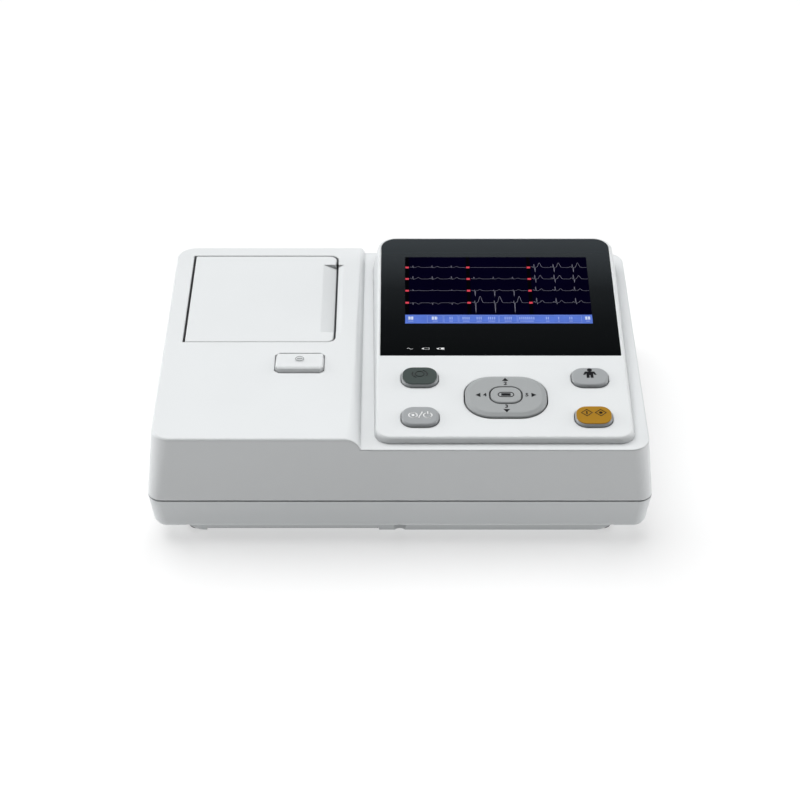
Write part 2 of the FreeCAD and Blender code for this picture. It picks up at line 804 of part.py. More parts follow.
def upper_cuts():
    """Everything cut out of the upper shell, the sockets' cut-outs apart."""
    door_hole = new_body("door_hole")
    mouth = sketch_on(door_hole, "door_hole_profile", "XY_Plane", "skirt_foot - overcut")
    rounded(mouth, ("hole_x", "hole_end_x"), ("hole_front", "hole_back"),
            "slit_corner", "door_corner + door_gap", "door_corner + door_gap", "slit_corner")
    feature(door_hole, "Pad", mouth, "skirt_depth + case_wall + 2 * overcut")
    tools = [door_hole,
             clipped_plan("button_hole", "button_gap", "top_under - overcut", "plateau_height + overcut"),
             scoop_cut("case_scoop", ("hole_end_x - overcut", "hole_end_x + scoop_case_run"),
                       "scoop_case_depth", "0")]
    tools.append(box("panel_hole", grown(around("panel_x", "panel_width"), "-panel_seat"),
                     ("panel_y + panel_seat", "panel_y + panel_length - 2 * panel_seat"),
                     ("deck_front - 2 * case_wall", "plateau_height")))
    pin_spans = (("hole_front - skirt_wall - overcut", "hole_front + overcut"),
                 ("hole_back - overcut", "hole_back + skirt_wall + overcut"))
    for end, span in enumerate(pin_spans):
        tools.append(rod(f"hinge_bore_{end}", "y", ("hinge_x", "hinge_z"), span, "hinge_pin_radius + shaft_fit"))
    tools.append(box("plate_hole", ("recess_x", "recess_end_x"), ("plate_back", "half_depth + overcut"),
                     around("socket_height", "2 * socket_recess_half")))
    tools.append(box("side_recess", ("side_face", "half_width + overcut"),
                     grown(around("patient_y", "patient_flange_width"), "recess_margin"),
                     around("socket_height", "2 * side_recess_half")))
    rim = [f"{half} - (case_wall - lip_wall - fit_gap)" for half in ("half_width", "half_depth", "corner_seam")]
    tools.append(lofted_block("lip_rebate", (*rim, "upper_foot - overcut"),
                              (*rim, "upper_foot + lip_height + fit_gap")))
    for index, at in enumerate(screw_places()):
        tools.append(prism(f"pilot_{index}", "z", at, ("upper_foot - overcut", "upper_foot + pilot_depth"),
                           "thread_radius", OCTAGON))
    return tools


def make_upper_housing():
    outside = stepped_form("upper_outside", "0")
    shell = cut("upper_shell", outside, stepped_form("upper_hollow", "case_wall"))
    body = common("upper_body", fuse("upper_mass", shell, *upper_fittings()), outside)
    node(cut("upper_housing", body, *upper_cuts(), *side_openings()), "upper_housing")


def lower_form():
    """The lower case with its rounded rim and plinth: the filled form, and the same form hollowed."""
    sections = []
    for angle in RIM_ANGLES:
        inset = f"(rim_inset + rim_round * (1 - cos({angle} deg)))"
        sections.append((f"half_width - {inset}", f"half_depth - {inset}", f"corner_seam + rim_inset - {inset}",
                         f"rim_height + rim_round * (1 - sin({angle} deg))"))
    body = lofted_block("lower_outside", *sections, ("half_width", "half_depth", "corner_seam", "lower_top"))
    plinth = lofted_block(
        "plinth",
        ("plinth_bottom_half_width", "plinth_bottom_half_depth", "plinth_corner", "plinth_clearance"),
        ("plinth_half_width", "plinth_half_depth", "plinth_corner", "rim_height + weld"))
    inset = "(rim_inset + case_wall + rim_round / 3)"
    hollow = lofted_block(
        "lower_hollow",
        (f"half_width - {inset}", f"half_depth - {inset}", "corner_seam - case_wall", "rim_floor"),
        ("half_width - case_wall", "half_depth - case_wall", "corner_seam - case_wall", "lower_top"))
    well = lofted_block(
        "plinth_hollow",
        ("plinth_bottom_half_width - case_wall", "plinth_bottom_half_depth - case_wall",
         "plinth_corner - case_wall", "plinth_floor"),
        ("plinth_half_width - case_wall", "plinth_half_depth - case_wall",
         "plinth_corner - case_wall", "rim_floor + weld"))
    mass = fuse("lower_mass", body, plinth)
    return mass, cut("lower_shell", mass, hollow, well)


def lip_ring():
    """The tongue round the lower case's rim, which enters the upper case's rebate."""
    halves = ("half_width", "half_depth", "corner_seam")
    outer = [f"{half} - (case_wall - lip_wall)" for half in halves]
    inner = [f"{half} - case_wall" for half in halves]
    outside = lofted_block("lip_outside", (*outer, "lower_top - lip_height"), (*outer, "upper_foot + lip_height"))
    inside = lofted_block("lip_inside", (*inner, "lower_top - 2 * lip_height"),
                          (*inner, "upper_foot + 2 * lip_height"))
    return cut("lip", outside, inside)


def feet_places():
    return [(f"{a}(half_width - foot_inset_x)", f"{b}(half_depth - foot_inset_y)")
            for a in ("-", "") for b in ("-", "")]


def board_places():
    """Corner posts of the main board and of the power board."""
    main_x = grown(("main_board_x", "main_board_x + main_board_width"), "-board_margin")
    main_y = grown(("main_board_y", "main_board_y + main_board_depth"), "-board_margin")
    power_y = grown(("power_board_front", "power_board_back"), "-board_margin")
    return [(x, y) for x in main_x for y in main_y + power_y]


def cover_screw_places():
    return [(x, "cover_back - cover_screw_inset")
            for x in grown(("cover_x", "cover_end_x"), "-(cover_screw_inset + cover_ledge)")]


def make_lower_housing():
    bay_x = grown(("cover_x", "cover_end_x"), "-cover_ledge")
    bay_y = ("cover_front + cover_ledge", "cover_back - 2 * cover_ledge")
    bay_top = "cover_top + pack_height + 2 * fit_gap"
    fittings = [box("bay_block", grown(bay_x, "bay_wall"), grown(bay_y, "bay_wall"),
                    ("plinth_floor - weld", f"{bay_top} + bay_wall"))]
    tools = [box("bay_hollow", bay_x, bay_y, ("plinth_clearance - overcut", bay_top)),
             box("cover_rebate", grown(("cover_x", "cover_end_x"), "fit_gap"),
                 ("-(half_depth)", "cover_back + fit_gap"), ("plinth_clearance - overcut", "cover_top"))]
    for i, at in enumerate(screw_places()):
        fittings.append(prism(f"lower_boss_{i}", "z", at, ("rim_height + weld", "lower_top"),
                              "boss_radius", OCTAGON))
        tools.append(rod(f"counterbore_{i}", "z", at, ("0", "screw_seat"), "counterbore_radius"))
        tools.append(prism(f"screw_hole_{i}", "z", at, ("screw_seat - overcut", "lower_top + overcut"),
                           "screw_radius + fit_gap", OCTAGON))
    for i, at in enumerate(board_places()):
        fittings.append(prism(f"board_post_{i}", "z", at, ("plinth_floor - weld", "main_board_z"),
                              "standoff_radius", OCTAGON))
        tools.append(prism(f"board_pilot_{i}", "z", at, ("plinth_floor", "main_board_z + overcut"),
                           "thread_radius", OCTAGON))
    for i, at in enumerate(cover_screw_places()):
        fittings.append(prism(f"cover_boss_{i}", "z", at,
                              ("plinth_floor - weld", "plinth_floor + cover_boss_height"),
                              "standoff_radius", OCTAGON))
        tools.append(prism(f"cover_pilot_{i}", "z", at,
                           ("plinth_clearance", "plinth_floor + cover_screw_length"), "thread_radius", OCTAGON))
    for i in range(VENTS):
        tools.append(box(f"vent_{i}", upward("main_board_x + vent_inset", "vent_length"),
                         upward(f"power_board_front + {i + 1} * vent_pitch", "vent_width"),
                         ("plinth_clearance - overcut", "plinth_floor + overcut")))
    mass, shell = lower_form()
    inside = common("lower_inside", fuse("lower_fittings", *fittings), mass)
    node(cut("lower_housing", fuse("lower_body", shell, inside, lip_ring()), *tools), "lower_housing")


def screw(name, at, head, shank, head_radius, head_sides):
    """A screw with a plain shank; its head and its shank are each given as a span of heights."""
    return fuse(name, prism(name + "_head", "z", at, head, head_radius, head_sides),
                prism(name + "_shank", "z", at, shank, "thread_radius", OCTAGON))


def make_fasteners():
    case = [screw(f"case_screw_{i}", at, ("screw_seat - screw_head_height", "screw_seat"),
                  ("screw_seat", "upper_foot + screw_reach"), "screw_head_radius", 2 * OCTAGON)
            for i, at in enumerate(screw_places())]
    node(group("housing_screws", *case), "housing_screws")
    cover_seat = "plinth_clearance + cover_head_height"
    cover = [screw(f"cover_screw_{i}", at, ("plinth_clearance", cover_seat),
                   upward(cover_seat, "cover_screw_length"), "cover_head_radius", 2 * OCTAGON)
             for i, at in enumerate(cover_screw_places())]
    node(group("battery_cover_screws", *cover), "battery_cover_screws")
    board_seat = "main_board_z + board_thickness"
    boards = [screw(f"board_screw_{i}", at, upward(board_seat, "screw_head_height"),
                    ("plinth_floor + fit_gap", board_seat), "screw_head_radius", HEXAGON)
              for i, at in enumerate(board_places())]
    node(group("board_screws", *boards), "board_screws")


def make_feet():
    feet = []
    for i, at in enumerate(feet_places()):
        foot = doc.addObject("Part::Cone", f"foot_{i}")
        bind(foot, "Radius1", "foot_radius - foot_bevel")
        bind(foot, "Radius2", "foot_radius")
        bind(foot, "Height", "plinth_clearance")
        feet.append(place(foot, *at, "0"))
    node(group("rubber_feet", *feet), "rubber_feet")


def make_battery():
    plate = box("cover_plate", ("cover_x", "cover_end_x"), ("cover_front", "cover_back"),
                ("plinth_clearance", "cover_top"))
    holes = []
    for i, at in enumerate(cover_screw_places()):
        holes.append(prism(f"cover_hole_{i}", "z", at, ("0", "cover_top + overcut"),
                           "screw_radius + fit_gap", OCTAGON))
        holes.append(rod(f"cover_sink_{i}", "z", at, ("0", "plinth_clearance + cover_head_height"),
                         "cover_head_radius + fit_gap"))
    for i in range(GRIP_LINES):
        holes.append(box(f"cover_grip_{i}", around("(cover_x + cover_end_x) / 2", "grip_length"),
                         upward(f"cover_front + {i + 2} * grip_pitch", "grip_pitch / 2"),
                         ("plinth_clearance - overcut", "plinth_clearance + grip_depth")))
    node(cut("battery_cover", plate, *holes), "battery_cover")
    pack = new_body("battery_pack")
    sketch = sketch_on(pack, "pack_profile", "XY_Plane", "cover_top + fit_gap")
    rounded(sketch, grown(("cover_x", "cover_end_x"), "-(cover_ledge + fit_gap)"),
            ("cover_front + cover_ledge + fit_gap", "cover_back - 2 * cover_ledge - fit_gap"), "pack_corner")
    feature(pack, "Pad", sketch, "pack_height")
    node(pack, "battery_pack")


# Paper door, release and latch

def make_door():
    door = new_body("door_plate")
    sketch = sketch_on(door, "door_profile", "XY_Plane", "door_under")
    rounded(sketch, ("door_x", "door_end_x"), ("door_front", "door_back"),
            "door_hinge_corner", "door_corner", "door_corner", "door_hinge_corner")
    feature(door, "Pad", sketch, "door_thickness")
    bevel_edges(door, "edge_round / 2", lambda b: near(b.ZMin, "plateau_height"))
    backing = box("scoop_backing_block", ("door_end_x - scoop_door_run - scoop_backing", "door_end_x"),
                  grown(upward("scoop_front", "scoop_length"), "scoop_backing"),
                  ("plateau_height - scoop_depth - scoop_backing", "door_under"))
    ribs = [box(f"door_rib_{i}", upward(f"hinge_x + rib_start + {i} * rib_pitch", "rib_width"),
                grown(("door_front", "door_back"), "-rib_inset"), ("door_under - rib_depth", "door_under"))
            for i in range(DOOR_RIBS)]
    tab_y = upward("door_front + latch_tip", "tab_thickness")
    tab = box("catch_tab", grown(around("button_middle_x", "latch_width"), "tab_margin"), tab_y,
              ("latch_foot - tab_margin", "door_under"))
    pin_spans = (("door_front - hinge_pin_length", "door_front + weld"),
                 ("door_back - weld", "door_back + hinge_pin_length"))
    pins = [rod(f"door_pin_{end}", "y", ("hinge_x", "hinge_z"), span, "hinge_pin_radius")
            for end, span in enumerate(pin_spans)]
    whole = fuse("door_solid", door, backing, tab, *ribs, *pins)
    ramp = scoop_cut("door_scoop", ("door_end_x - scoop_door_run", "door_end_x + overcut"), "0", "scoop_depth")
    window = box("catch_window", around("button_middle_x", "latch_width"), grown(tab_y, "overcut"),
                 ("latch_foot - fit_gap", "latch_foot + latch_height / 2"))
    node(cut("paper_door", whole, ramp, window), "paper_door")


def clipped_plan(name, gap, low, high):
    """A prism on the release button's plan, an oblong with its corners cut off."""
    body = new_body(name)
    sketch = sketch_on(body, name + "_profile", "XY_Plane", low)
    left, right = grown(("button_x", "button_end_x"), gap)
    front, back = grown(("button_front", "button_back"), gap)
    outline(sketch, [(f"{left} + button_corner", front), (f"{right} - button_corner", front),
                     (right, f"{front} + button_corner"), (right, f"{back} - button_corner"),
                     (f"{right} - button_corner", back), (f"{left} + button_corner", back),
                     (left, f"{back} - button_corner"), (left, f"{front} + button_corner")])
    feature(body, "Pad", sketch, f"({high}) - ({low})")
    return body


def make_release():
    profile = new_body("button_cap")
    sketch = sketch_on(profile, "button_profile", "YZ_Plane", "button_x")
    outline(sketch, [("button_back", "button_foot"), ("button_back", "plateau_height + button_back_rise"),
                     ("button_front + button_front_run", "plateau_height + button_rise"),
                     ("button_front", "plateau_height"), ("button_front", "button_foot")])
    feature(profile, "Pad", sketch, "button_width")
    bevel_edges(profile, "edge_round", lambda b: b.ZMin > number("plateau_height") - TOUCH)
    plan = clipped_plan("button_plan", "0", "button_foot", "plateau_height + 2 * button_rise")
    flange = box("button_flange_plate", grown(("button_x", "button_end_x"), "button_flange"),
                 grown(("button_front", "button_back"), "button_flange"), ("button_foot", "top_under - fit_gap"))
    wedge = new_body("button_wedge")
    side = sketch_on(wedge, "wedge_profile", "YZ_Plane", "button_middle_x - wedge_width / 2")
    outline(side, [("wedge_y", "wedge_foot"), ("wedge_y + wedge_tip", "wedge_foot"),
                   ("wedge_y + wedge_tip", "button_foot"),
                   ("wedge_y - (button_foot - wedge_foot)", "button_foot")])
    feature(wedge, "Pad", side, "wedge_width")
    node(fuse("release_button", common("button_top", profile, plan), flange, wedge), "release_button")


def make_latch():
    """A slider with a ramp in its window, which the button's wedge pushes towards the front."""
    slider = new_body("latch_slider")
    sketch = sketch_on(slider, "latch_profile", "YZ_Plane", "button_middle_x - latch_width / 2")
    outline(sketch, [("latch_front", "latch_foot"), ("latch_end", "latch_foot"),
                     ("latch_end", "latch_foot + latch_nose"),
                     ("latch_end - (latch_height - latch_nose)", "latch_top"), ("latch_front", "latch_top")])
    feature(slider, "Pad", sketch, "latch_width")
    window = new_body("latch_window")
    side = sketch_on(window, "latch_window_profile", "YZ_Plane", "button_middle_x - wedge_width / 2 - fit_gap")
    back = "wedge_y + wedge_tip + button_travel + fit_gap + overcut"
    low, high = grown(("latch_foot", "latch_top"), "overcut")
    outline(side, [("ramp_y - overcut", high), ("ramp_y + latch_height + overcut", low),
                   (back, low), (back, high)])
    feature(window, "Pad", side, "wedge_width + 2 * fit_gap")
    node(cut("door_latch", slider, window), "door_latch")
    node(spring("latch_spring", "y", ("button_middle_x", "latch_foot + latch_height / 2"),
                ("latch_front - latch_spring_length", "latch_front"), "latch_spring_radius"), "latch_spring")


def spring(name, axis, centre, span, radius):
    """A hidden compression spring, drawn as a plain sleeve of its wire's thickness."""
    return cut(name, prism(name + "_outside", axis, centre, span, radius, OCTAGON),
               prism(name + "_inside", axis, centre, span, f"{radius} - spring_wire", OCTAGON))


# Paper tray, roll and print mechanism

def tray_openings():
    """Bores and slots in the tray's two end walls for the turning pieces, and the latch's channel."""
    through = grown(("tray_front", "tray_back"), "overcut")
    latch_x = grown(around("button_middle_x", "latch_width"), "fit_gap")
    return [rod("platen_bush_bores", "y", ("platen_x", "platen_height"), through, "bush_radius"),
            rod("pivot_bores", "y", ("pivot_x", "pivot_z"), through, "pivot_radius"),
            rod("journal_seats", "y", ("roll_x", "roll_axis_height"), through, "journal_radius + shaft_fit"),
            box("journal_slots", around("roll_x", "2 * (journal_radius + shaft_fit)"), through,
                ("roll_axis_height", "skirt_foot + overcut")),
            box("latch_channel", latch_x, ("latch_front - latch_spring_length", "hole_front + overcut"),
                ("latch_foot - shaft_fit", "skirt_foot + overcut"))]


def make_tray():
    well_x = around("roll_x", "2 * trough_radius")
    axis = ("roll_x", "roll_axis_height")
    span, inner = ("tray_front", "tray_back"), ("hole_front", "hole_back")
    shelf = box("latch_shelf", grown(around("button_middle_x", "latch_width"), "latch_shelf_wall"),
                ("latch_front - latch_spring_length - tray_wall", "tray_front + weld"),
                ("latch_foot - tray_wall", "latch_top"))
    outside = fuse("tray_outside", shelf,
                   rod("trough_outside", "y", axis, span, "trough_radius + tray_wall"),
                   box("well_outside", grown(well_x, "tray_wall"), span, ("roll_axis_height", "skirt_foot")),
                   box("mechanism_outside", ("tray_x", well_x[0]), span, ("mechanism_floor", "skirt_foot")))
    hollow = fuse("tray_hollow", rod("trough", "y", axis, inner, "trough_radius"),
                  box("well", well_x, inner, ("roll_axis_height", "skirt_foot + overcut")),
                  box("mechanism_room", ("tray_x + tray_wall", f"{well_x[0]} + weld"), inner,
                      ("mechanism_floor + tray_wall", "skirt_foot + overcut")))
    mouth = box("tray_mouth", grown(("tray_x", f"{well_x[1]} + tray_wall"), "overcut"), grown(span, "overcut"),
                ("skirt_foot", "plateau_height"))
    node(cut("paper_tray", outside, hollow, mouth, *tray_openings()), "paper_tray")


def make_roll():
    axis = ("roll_x", "roll_axis_height")
    paper = upward("roll_front", "roll_width")
    node(tube("paper_roll", "y", axis, paper, "roll_radius", "core_radius"), "paper_roll")
    flange_spans = (("roll_front - spindle_flange", "roll_front"),
                    upward("roll_front + roll_width", "spindle_flange"))
    flanges = [rod(f"spindle_flange_{i}", "y", axis, span, "core_radius + spindle_flange_rise")
               for i, span in enumerate(flange_spans)]
    node(fuse("roll_spindle", rod("spindle_body", "y", axis, paper, "core_radius"),
              rod("spindle_journals", "y", axis, grown(("tray_front", "tray_back"), "-journal_setback"),
                  "journal_radius"), *flanges), "roll_spindle")


def gear(name, teeth, axis_x, turn):
    """A spur gear with straight-flanked teeth, drawn from its module and number of teeth."""
    module, count = number("gear_module"), int(number(teeth))
    pitch = module * count / 2
    root = (pitch - number("tooth_root") * module, number("tooth_root_share"))
    crest = (pitch + number("tooth_crest") * module, number("tooth_crest_share"))
    corners = []
    for tooth in range(count):
        middle = 2 * math.pi * (tooth + turn) / count
        for (radius, share), side in ((root, -1), (crest, -1), (crest, 1), (root, 1)):
            angle = middle + side * share * math.pi / count
            corners.append(FreeCAD.Vector(radius * math.cos(angle), 0, radius * math.sin(angle)))
    face = Part.Face(Part.makePolygon(corners + corners[:1]))
    blank = doc.addObject("Part::Feature", name + "_teeth")
    blank.Shape = face.extrude(FreeCAD.Vector(0, number("gear_width"), 0))
    return place(blank, axis_x, "gear_front", "platen_height")


def make_platen():
    axis = ("platen_x", "platen_height")
    node(tube("platen_roller", "y", axis, upward("platen_front", "platen_length"), "platen_radius",
              "platen_shaft_radius"), "platen_roller")
    node(rod("platen_shaft", "y", axis, ("gear_front", "tray_back + shaft_overhang"), "platen_shaft_radius"),
         "platen_shaft")
    bushes = [tube(f"bush_{end}", "y", axis, wall, "bush_radius", "platen_shaft_radius + shaft_fit")
              for end, wall in (("front", ("tray_front", "hole_front")), ("back", ("hole_back", "tray_back")))]
    node(group("platen_bushes", *bushes), "platen_bushes")
    bore = rod("platen_gear_bore", "y", axis, grown(("gear_front", "gear_back"), "overcut"), "platen_shaft_radius")
    node(cut("platen_gear", gear("platen_gear", "platen_teeth", "platen_x", 0), bore), "platen_gear")


def make_motor():
    axis = ("motor_x", "platen_height")
    bore = rod("pinion_bore", "y", axis, grown(("gear_front", "gear_back"), "overcut"), "motor_shaft_radius")
    node(cut("motor_pinion", gear("motor_pinion", "pinion_teeth", "motor_x", HALF_TOOTH), bore), "motor_pinion")
    magnet = upward("magnet_front", "magnet_length")
    node(tube("motor_magnet", "y", axis, magnet, "magnet_radius", "motor_shaft_radius"), "motor_magnet")
    node(rod("motor_shaft", "y", axis, ("magnet_front", "gear_back"), "motor_shaft_radius"), "motor_shaft")
    can = rod("motor_can", "y", axis, ("motor_back", "bracket_front"), "motor_radius")
    room = rod("motor_room", "y", axis, grown(magnet, "fit_gap"), "magnet_radius + fit_gap")
    bearing = rod("motor_bearing", "y", axis, ("magnet_front", "bracket_front + overcut"),
                  "motor_shaft_radius + shaft_fit")
    node(cut("stepper_motor", can, room, bearing), "stepper_motor")
    plate = box("bracket_plate", grown(around("motor_x", "2 * motor_radius"), "bracket_ear"),
                ("bracket_front", "bracket_back"), around("platen_height", "bracket_height"))
    posts = [box(f"bracket_post_{i}", around("motor_x + motor_radius + bracket_ear / 2", "bracket_foot"),
                 ("bracket_back", "tray_front"), around(z, "bracket_foot"))
             for i, z in enumerate(around("platen_height", "bracket_height - bracket_foot"))]
    hole = rod("bracket_hole", "y", axis, grown(("bracket_front", "bracket_back"), "overcut"),
               "2 * motor_shaft_radius")
    node(cut("motor_bracket", fuse("bracket_whole", plate, *posts), hole), "motor_bracket")


def make_head():
    ends = upward("platen_front", "platen_length")
    pivot = ("pivot_x", "pivot_z")
    node(box("print_head", ("head_back", "head_face"), ends, around("platen_height", "head_height")), "print_head")
    block = box("sink_block", ("sink_back", "head_back"), ends, ("sink_foot", "sink_top"))
    grooves = [box(f"sink_groove_{i}", ("sink_back - overcut", "sink_back + fin_depth"), grown(ends, "overcut"),
                   upward(f"pivot_z + {i + 1} * 2 * fin_gap", "fin_gap")) for i in range(SINK_GROOVES)]
    bore = rod("sink_bore", "y", pivot, grown(ends, "overcut"), "pivot_radius + shaft_fit")
    node(cut("heat_sink", block, bore, *grooves), "heat_sink")
    node(rod("head_pivot_pin", "y", pivot, ("tray_front", "tray_back"), "pivot_radius"), "head_pivot_pin")
    springs = [spring(f"head_spring_{i}", "x", (y, "platen_height"), ("tray_x + tray_wall", "sink_back"),
                      "spring_radius") for i, y in enumerate(around("door_middle", "spring_spread"))]
    node(group("head_springs", *springs), "head_springs")
    node(box("tear_bar", upward("hole_x", "tear_thickness"), upward("roll_front", "roll_width"),
             ("top_under - tear_height", "top_under")), "tear_bar")
    node(box("paper_sensor", upward("platen_x + platen_radius + sensor_gap", "sensor_length"),
             around("door_middle", "sensor_width"), upward("mechanism_floor + tray_wall", "sensor_length")),
         "paper_sensor")


# Control panel

def panel_outline(body, name, depth, inset):
    spread = f"panel_flare * ({depth}) - {inset}"
    sketch = sketch_on(body, name, "XY_Plane", f"-({depth})")
    front, back = f"panel_front_corner + {spread}", f"panel_back_corner + {spread}"
    return rounded(sketch, (f"-(panel_half + {spread})", f"panel_half + {spread}"),
                   (f"-({spread})", f"panel_length + {spread}"), front, front, back, back)


def panel_wedge(name, inset, top):
    """The panel's flared block, from a depth under its face down to the end of its skirt."""
    body = new_body(name)
    loft(body, panel_outline(body, name + "_top", top, inset),
         panel_outline(body, name + "_foot", "panel_skirt", inset))
    return body


def key_places():
    left, right = around("keys_x", "2 * key_spread")
    return {"mode_key": (left, "key_back_middle"), "power_key": (left, "key_front_middle"),
            "patient_key": (right, "key_back_middle"), "start_key": (right, "key_front_middle")}


def pillow(name, at, size, gap, z):
    """A pad with rounded corners round a key's middle, between two heights of the panel's frame."""
    width, depth, corner = size
    body = new_body(name)
    sketch = sketch_on(body, name + "_profile", "XY_Plane", z[0])
    rounded(sketch, grown(around(at[0], width), gap), grown(around(at[1], depth), gap), f"{corner} + ({gap})")
    feature(body, "Pad", sketch, f"({z[1]}) - ({z[0]})")
    return body


def above_deck():
    """A block whose underside lies on the sloping deck, to trim the panel's skirt."""
    block = doc.addObject("Part::Box", "above_deck")
    bind(block, "Length", "body_width")
    bind(block, "Width", "body_depth * 2")
    bind(block, "Height", "plateau_height")
    block.Placement = FreeCAD.Placement(FreeCAD.Vector(), FreeCAD.Rotation(FreeCAD.Vector(1, 0, 0), 1))
    bind(block, "Placement.Rotation.Angle", "atan(deck_slope)")
    return place(block, "panel_x - half_width", "-(top_half_depth) - body_depth / 2",
                 "deck_front - deck_slope * body_depth / 2")


def window_sheet(name, gap, corner, floor, rise):
    body = new_body(name)
    sketch = sketch_on(body, name + "_profile", "XY_Plane", f"-({floor})")
    rounded(sketch, grown(around("0", "window_width"), gap), grown(upward("window_start", "window_length"), gap),
            corner, corner, "window_corner", "window_corner")
    feature(body, "Pad", sketch, f"{floor} + {rise}")
    return body


def make_panel():
    outer = panel_wedge("panel_outside", "0", "0")
    bevel_edges(outer, "edge_round", lambda b: near(b.ZMin, "0") and near(b.ZMax, "0"))
    inner = panel_wedge("panel_hollow", "panel_wall", "panel_wall")
    through = ("-panel_wall - overcut", "overcut")
    openings = [pillow(name + "_hole", at, KEY, "key_gap", through) for name, at in key_places().items()]
    openings.append(pillow("pad_hole", PAD_AT, PAD, "pad_gap", through))
    openings.append(window_sheet("window_seat", "window_bond", "window_front_corner + window_bond",
                                 "window_floor", "overcut"))
    openings.append(box("screen_hole", grown(around("0", "screen_width"), "screen_margin"),
                        grown(around("screen_middle", "screen_length"), "screen_margin"), through))
    flat = on_panel(cut("panel_flat", outer, inner, *openings))
    node(common("control_panel", flat, above_deck()), "control_panel")
    window = window_sheet("display_window", "0", "window_front_corner", "window_thickness", "0")
    node(on_panel(window), "display_window")


def make_display():
    x, y = around("0", "screen_width"), around("screen_middle", "screen_length")
    frame = box("module_frame", grown(x, "module_border_x"), grown(y, "module_border_y"),
                ("-(module_top) - module_thickness", "-(module_top)"))
    face = box("module_face", x, y, ("-(module_top) - module_bezel", "0"))
    node(on_panel(cut("display_module", frame, face)), "display_module")


def make_keys():
    for name, at in key_places().items():
        cap = pillow(name + "_cap", at, KEY, "0", ("-(key_foot)", "key_rise"))
        bevel_edges(cap, "key_round", lambda b: near(b.ZMin, "key_rise"))
        rim = "key_gap + key_flange"
        flange = box(name + "_flange", grown(around(at[0], "key_width"), rim),
                     grown(around(at[1], "key_depth"), rim), ("-(key_foot)", "-panel_wall - shaft_fit"))
        stem = box(name + "_stem", around(at[0], "key_stem_width"), around(at[1], "key_stem_width"),
                   ("-(key_stem_foot)", "-(key_foot)"))
        whole = fuse(name + "_whole", cap, flange, stem)
        if name in INLAID_KEYS:
            floor = "key_rise - inlay_recess"
            seat = pillow(name + "_seat", at, KEY, "-inlay_margin", (floor, "key_rise + overcut"))
            inlay = pillow(name + "_inlay", at, KEY, "-inlay_margin", upward(floor, "inlay_thickness"))
            node(on_panel(inlay), name + "_inlay")
            whole = cut(name + "_cut", whole, seat)
        node(on_panel(whole), name)


def make_rocker():
    """The navigation pad on a gimbal ring: its two pins cross the ring's own two at right angles."""
    x, y = PAD_AT
    pad = pillow("pad_cap", PAD_AT, PAD, "0", ("-(pad_under)", "key_rise"))
    bevel_edges(pad, "pad_edge_round", lambda b: near(b.ZMin, "key_rise"))
    hole = pillow("enter_hole", PAD_AT, ENTER, "enter_gap", ("-panel_wall - overcut", "key_rise + overcut"))
    arm_room, arm_end = "(ring_outer + fit_gap)", "(ring_outer + fit_gap + post_thickness)"
    pin_end = "(ring_outer + fit_gap - trunnion_length)"
    arms = []
    for end, (low, high) in enumerate(((f"{y} - {arm_end}", f"{y} - {arm_room}"),
                                       (f"{y} + {arm_room}", f"{y} + {arm_end}"))):
        arms.append(box(f"pad_arm_{end}", around(x, "post_width"), (low, high),
                        ("-ring_drop - trunnion_cover", "-(pad_under)")))
    arm_spans = ((f"{y} - {arm_room}", f"{y} - {pin_end}"), (f"{y} + {pin_end}", f"{y} + {arm_room}"))
    for end, span in enumerate(arm_spans):
        arms.append(rod(f"pad_pin_{end}", "y", (x, "-ring_drop"), span, "trunnion_radius"))
    node(on_panel(cut("navigation_pad", fuse("pad_whole", pad, *arms), hole)), "navigation_pad")
    ring = tube("ring_body", "z", PAD_AT, around("-ring_drop", "ring_height"), "ring_outer", "ring_inner")
    pins = [rod(f"ring_pin_{end}", "x", (y, "-ring_drop"), span, "trunnion_radius") for end, span in enumerate(
        ((f"{x} - ring_outer - trunnion_length", f"{x} - ring_outer + weld"),
         (f"{x} + ring_outer - weld", f"{x} + ring_outer + trunnion_length")))]
    bores = rod("ring_bores", "y", (x, "-ring_drop"), around(y, "4 * ring_outer"), "trunnion_radius + shaft_fit")
    node(on_panel(cut("navigation_ring", fuse("ring_whole", ring, *pins), bores)), "navigation_ring")


def make_rocker_bracket():
    x, y = PAD_AT
    base = tube("bracket_base", "z", PAD_AT, upward("-(board_top)", "bracket_base"),
                "ring_outer + 2 * post_thickness", "ring_inner - post_thickness")
    post_x = "(ring_outer + fit_gap + post_thickness / 2)"
    posts = [box(f"ring_post_{i}", around(f"{x} {sign} {post_x}", "post_thickness"), around(y, "post_width"),
                 ("-(board_top)", "-ring_drop + post_cover")) for i, sign in enumerate("-+")]
    bearing = rod("ring_bearing", "x", (y, "-ring_drop"), around(x, "4 * ring_outer"),
                  "trunnion_radius + shaft_fit")
    node(on_panel(cut("navigation_bracket", fuse("bracket_body", base, *posts), bearing)), "navigation_bracket")


def make_enter_key():
    cap = pillow("enter_cap", PAD_AT, ENTER, "0", ("-panel_wall", "enter_rise"))
    bevel_edges(cap, "key_round", lambda b: near(b.ZMin, "enter_rise"))
    stem = box("enter_stem", around(PAD_AT[0], "key_stem_width"), around(PAD_AT[1], "key_stem_width"),
               ("-(enter_stem_foot)", "-panel_wall"))
    node(on_panel(fuse("enter_key", cap, stem)), "enter_key")


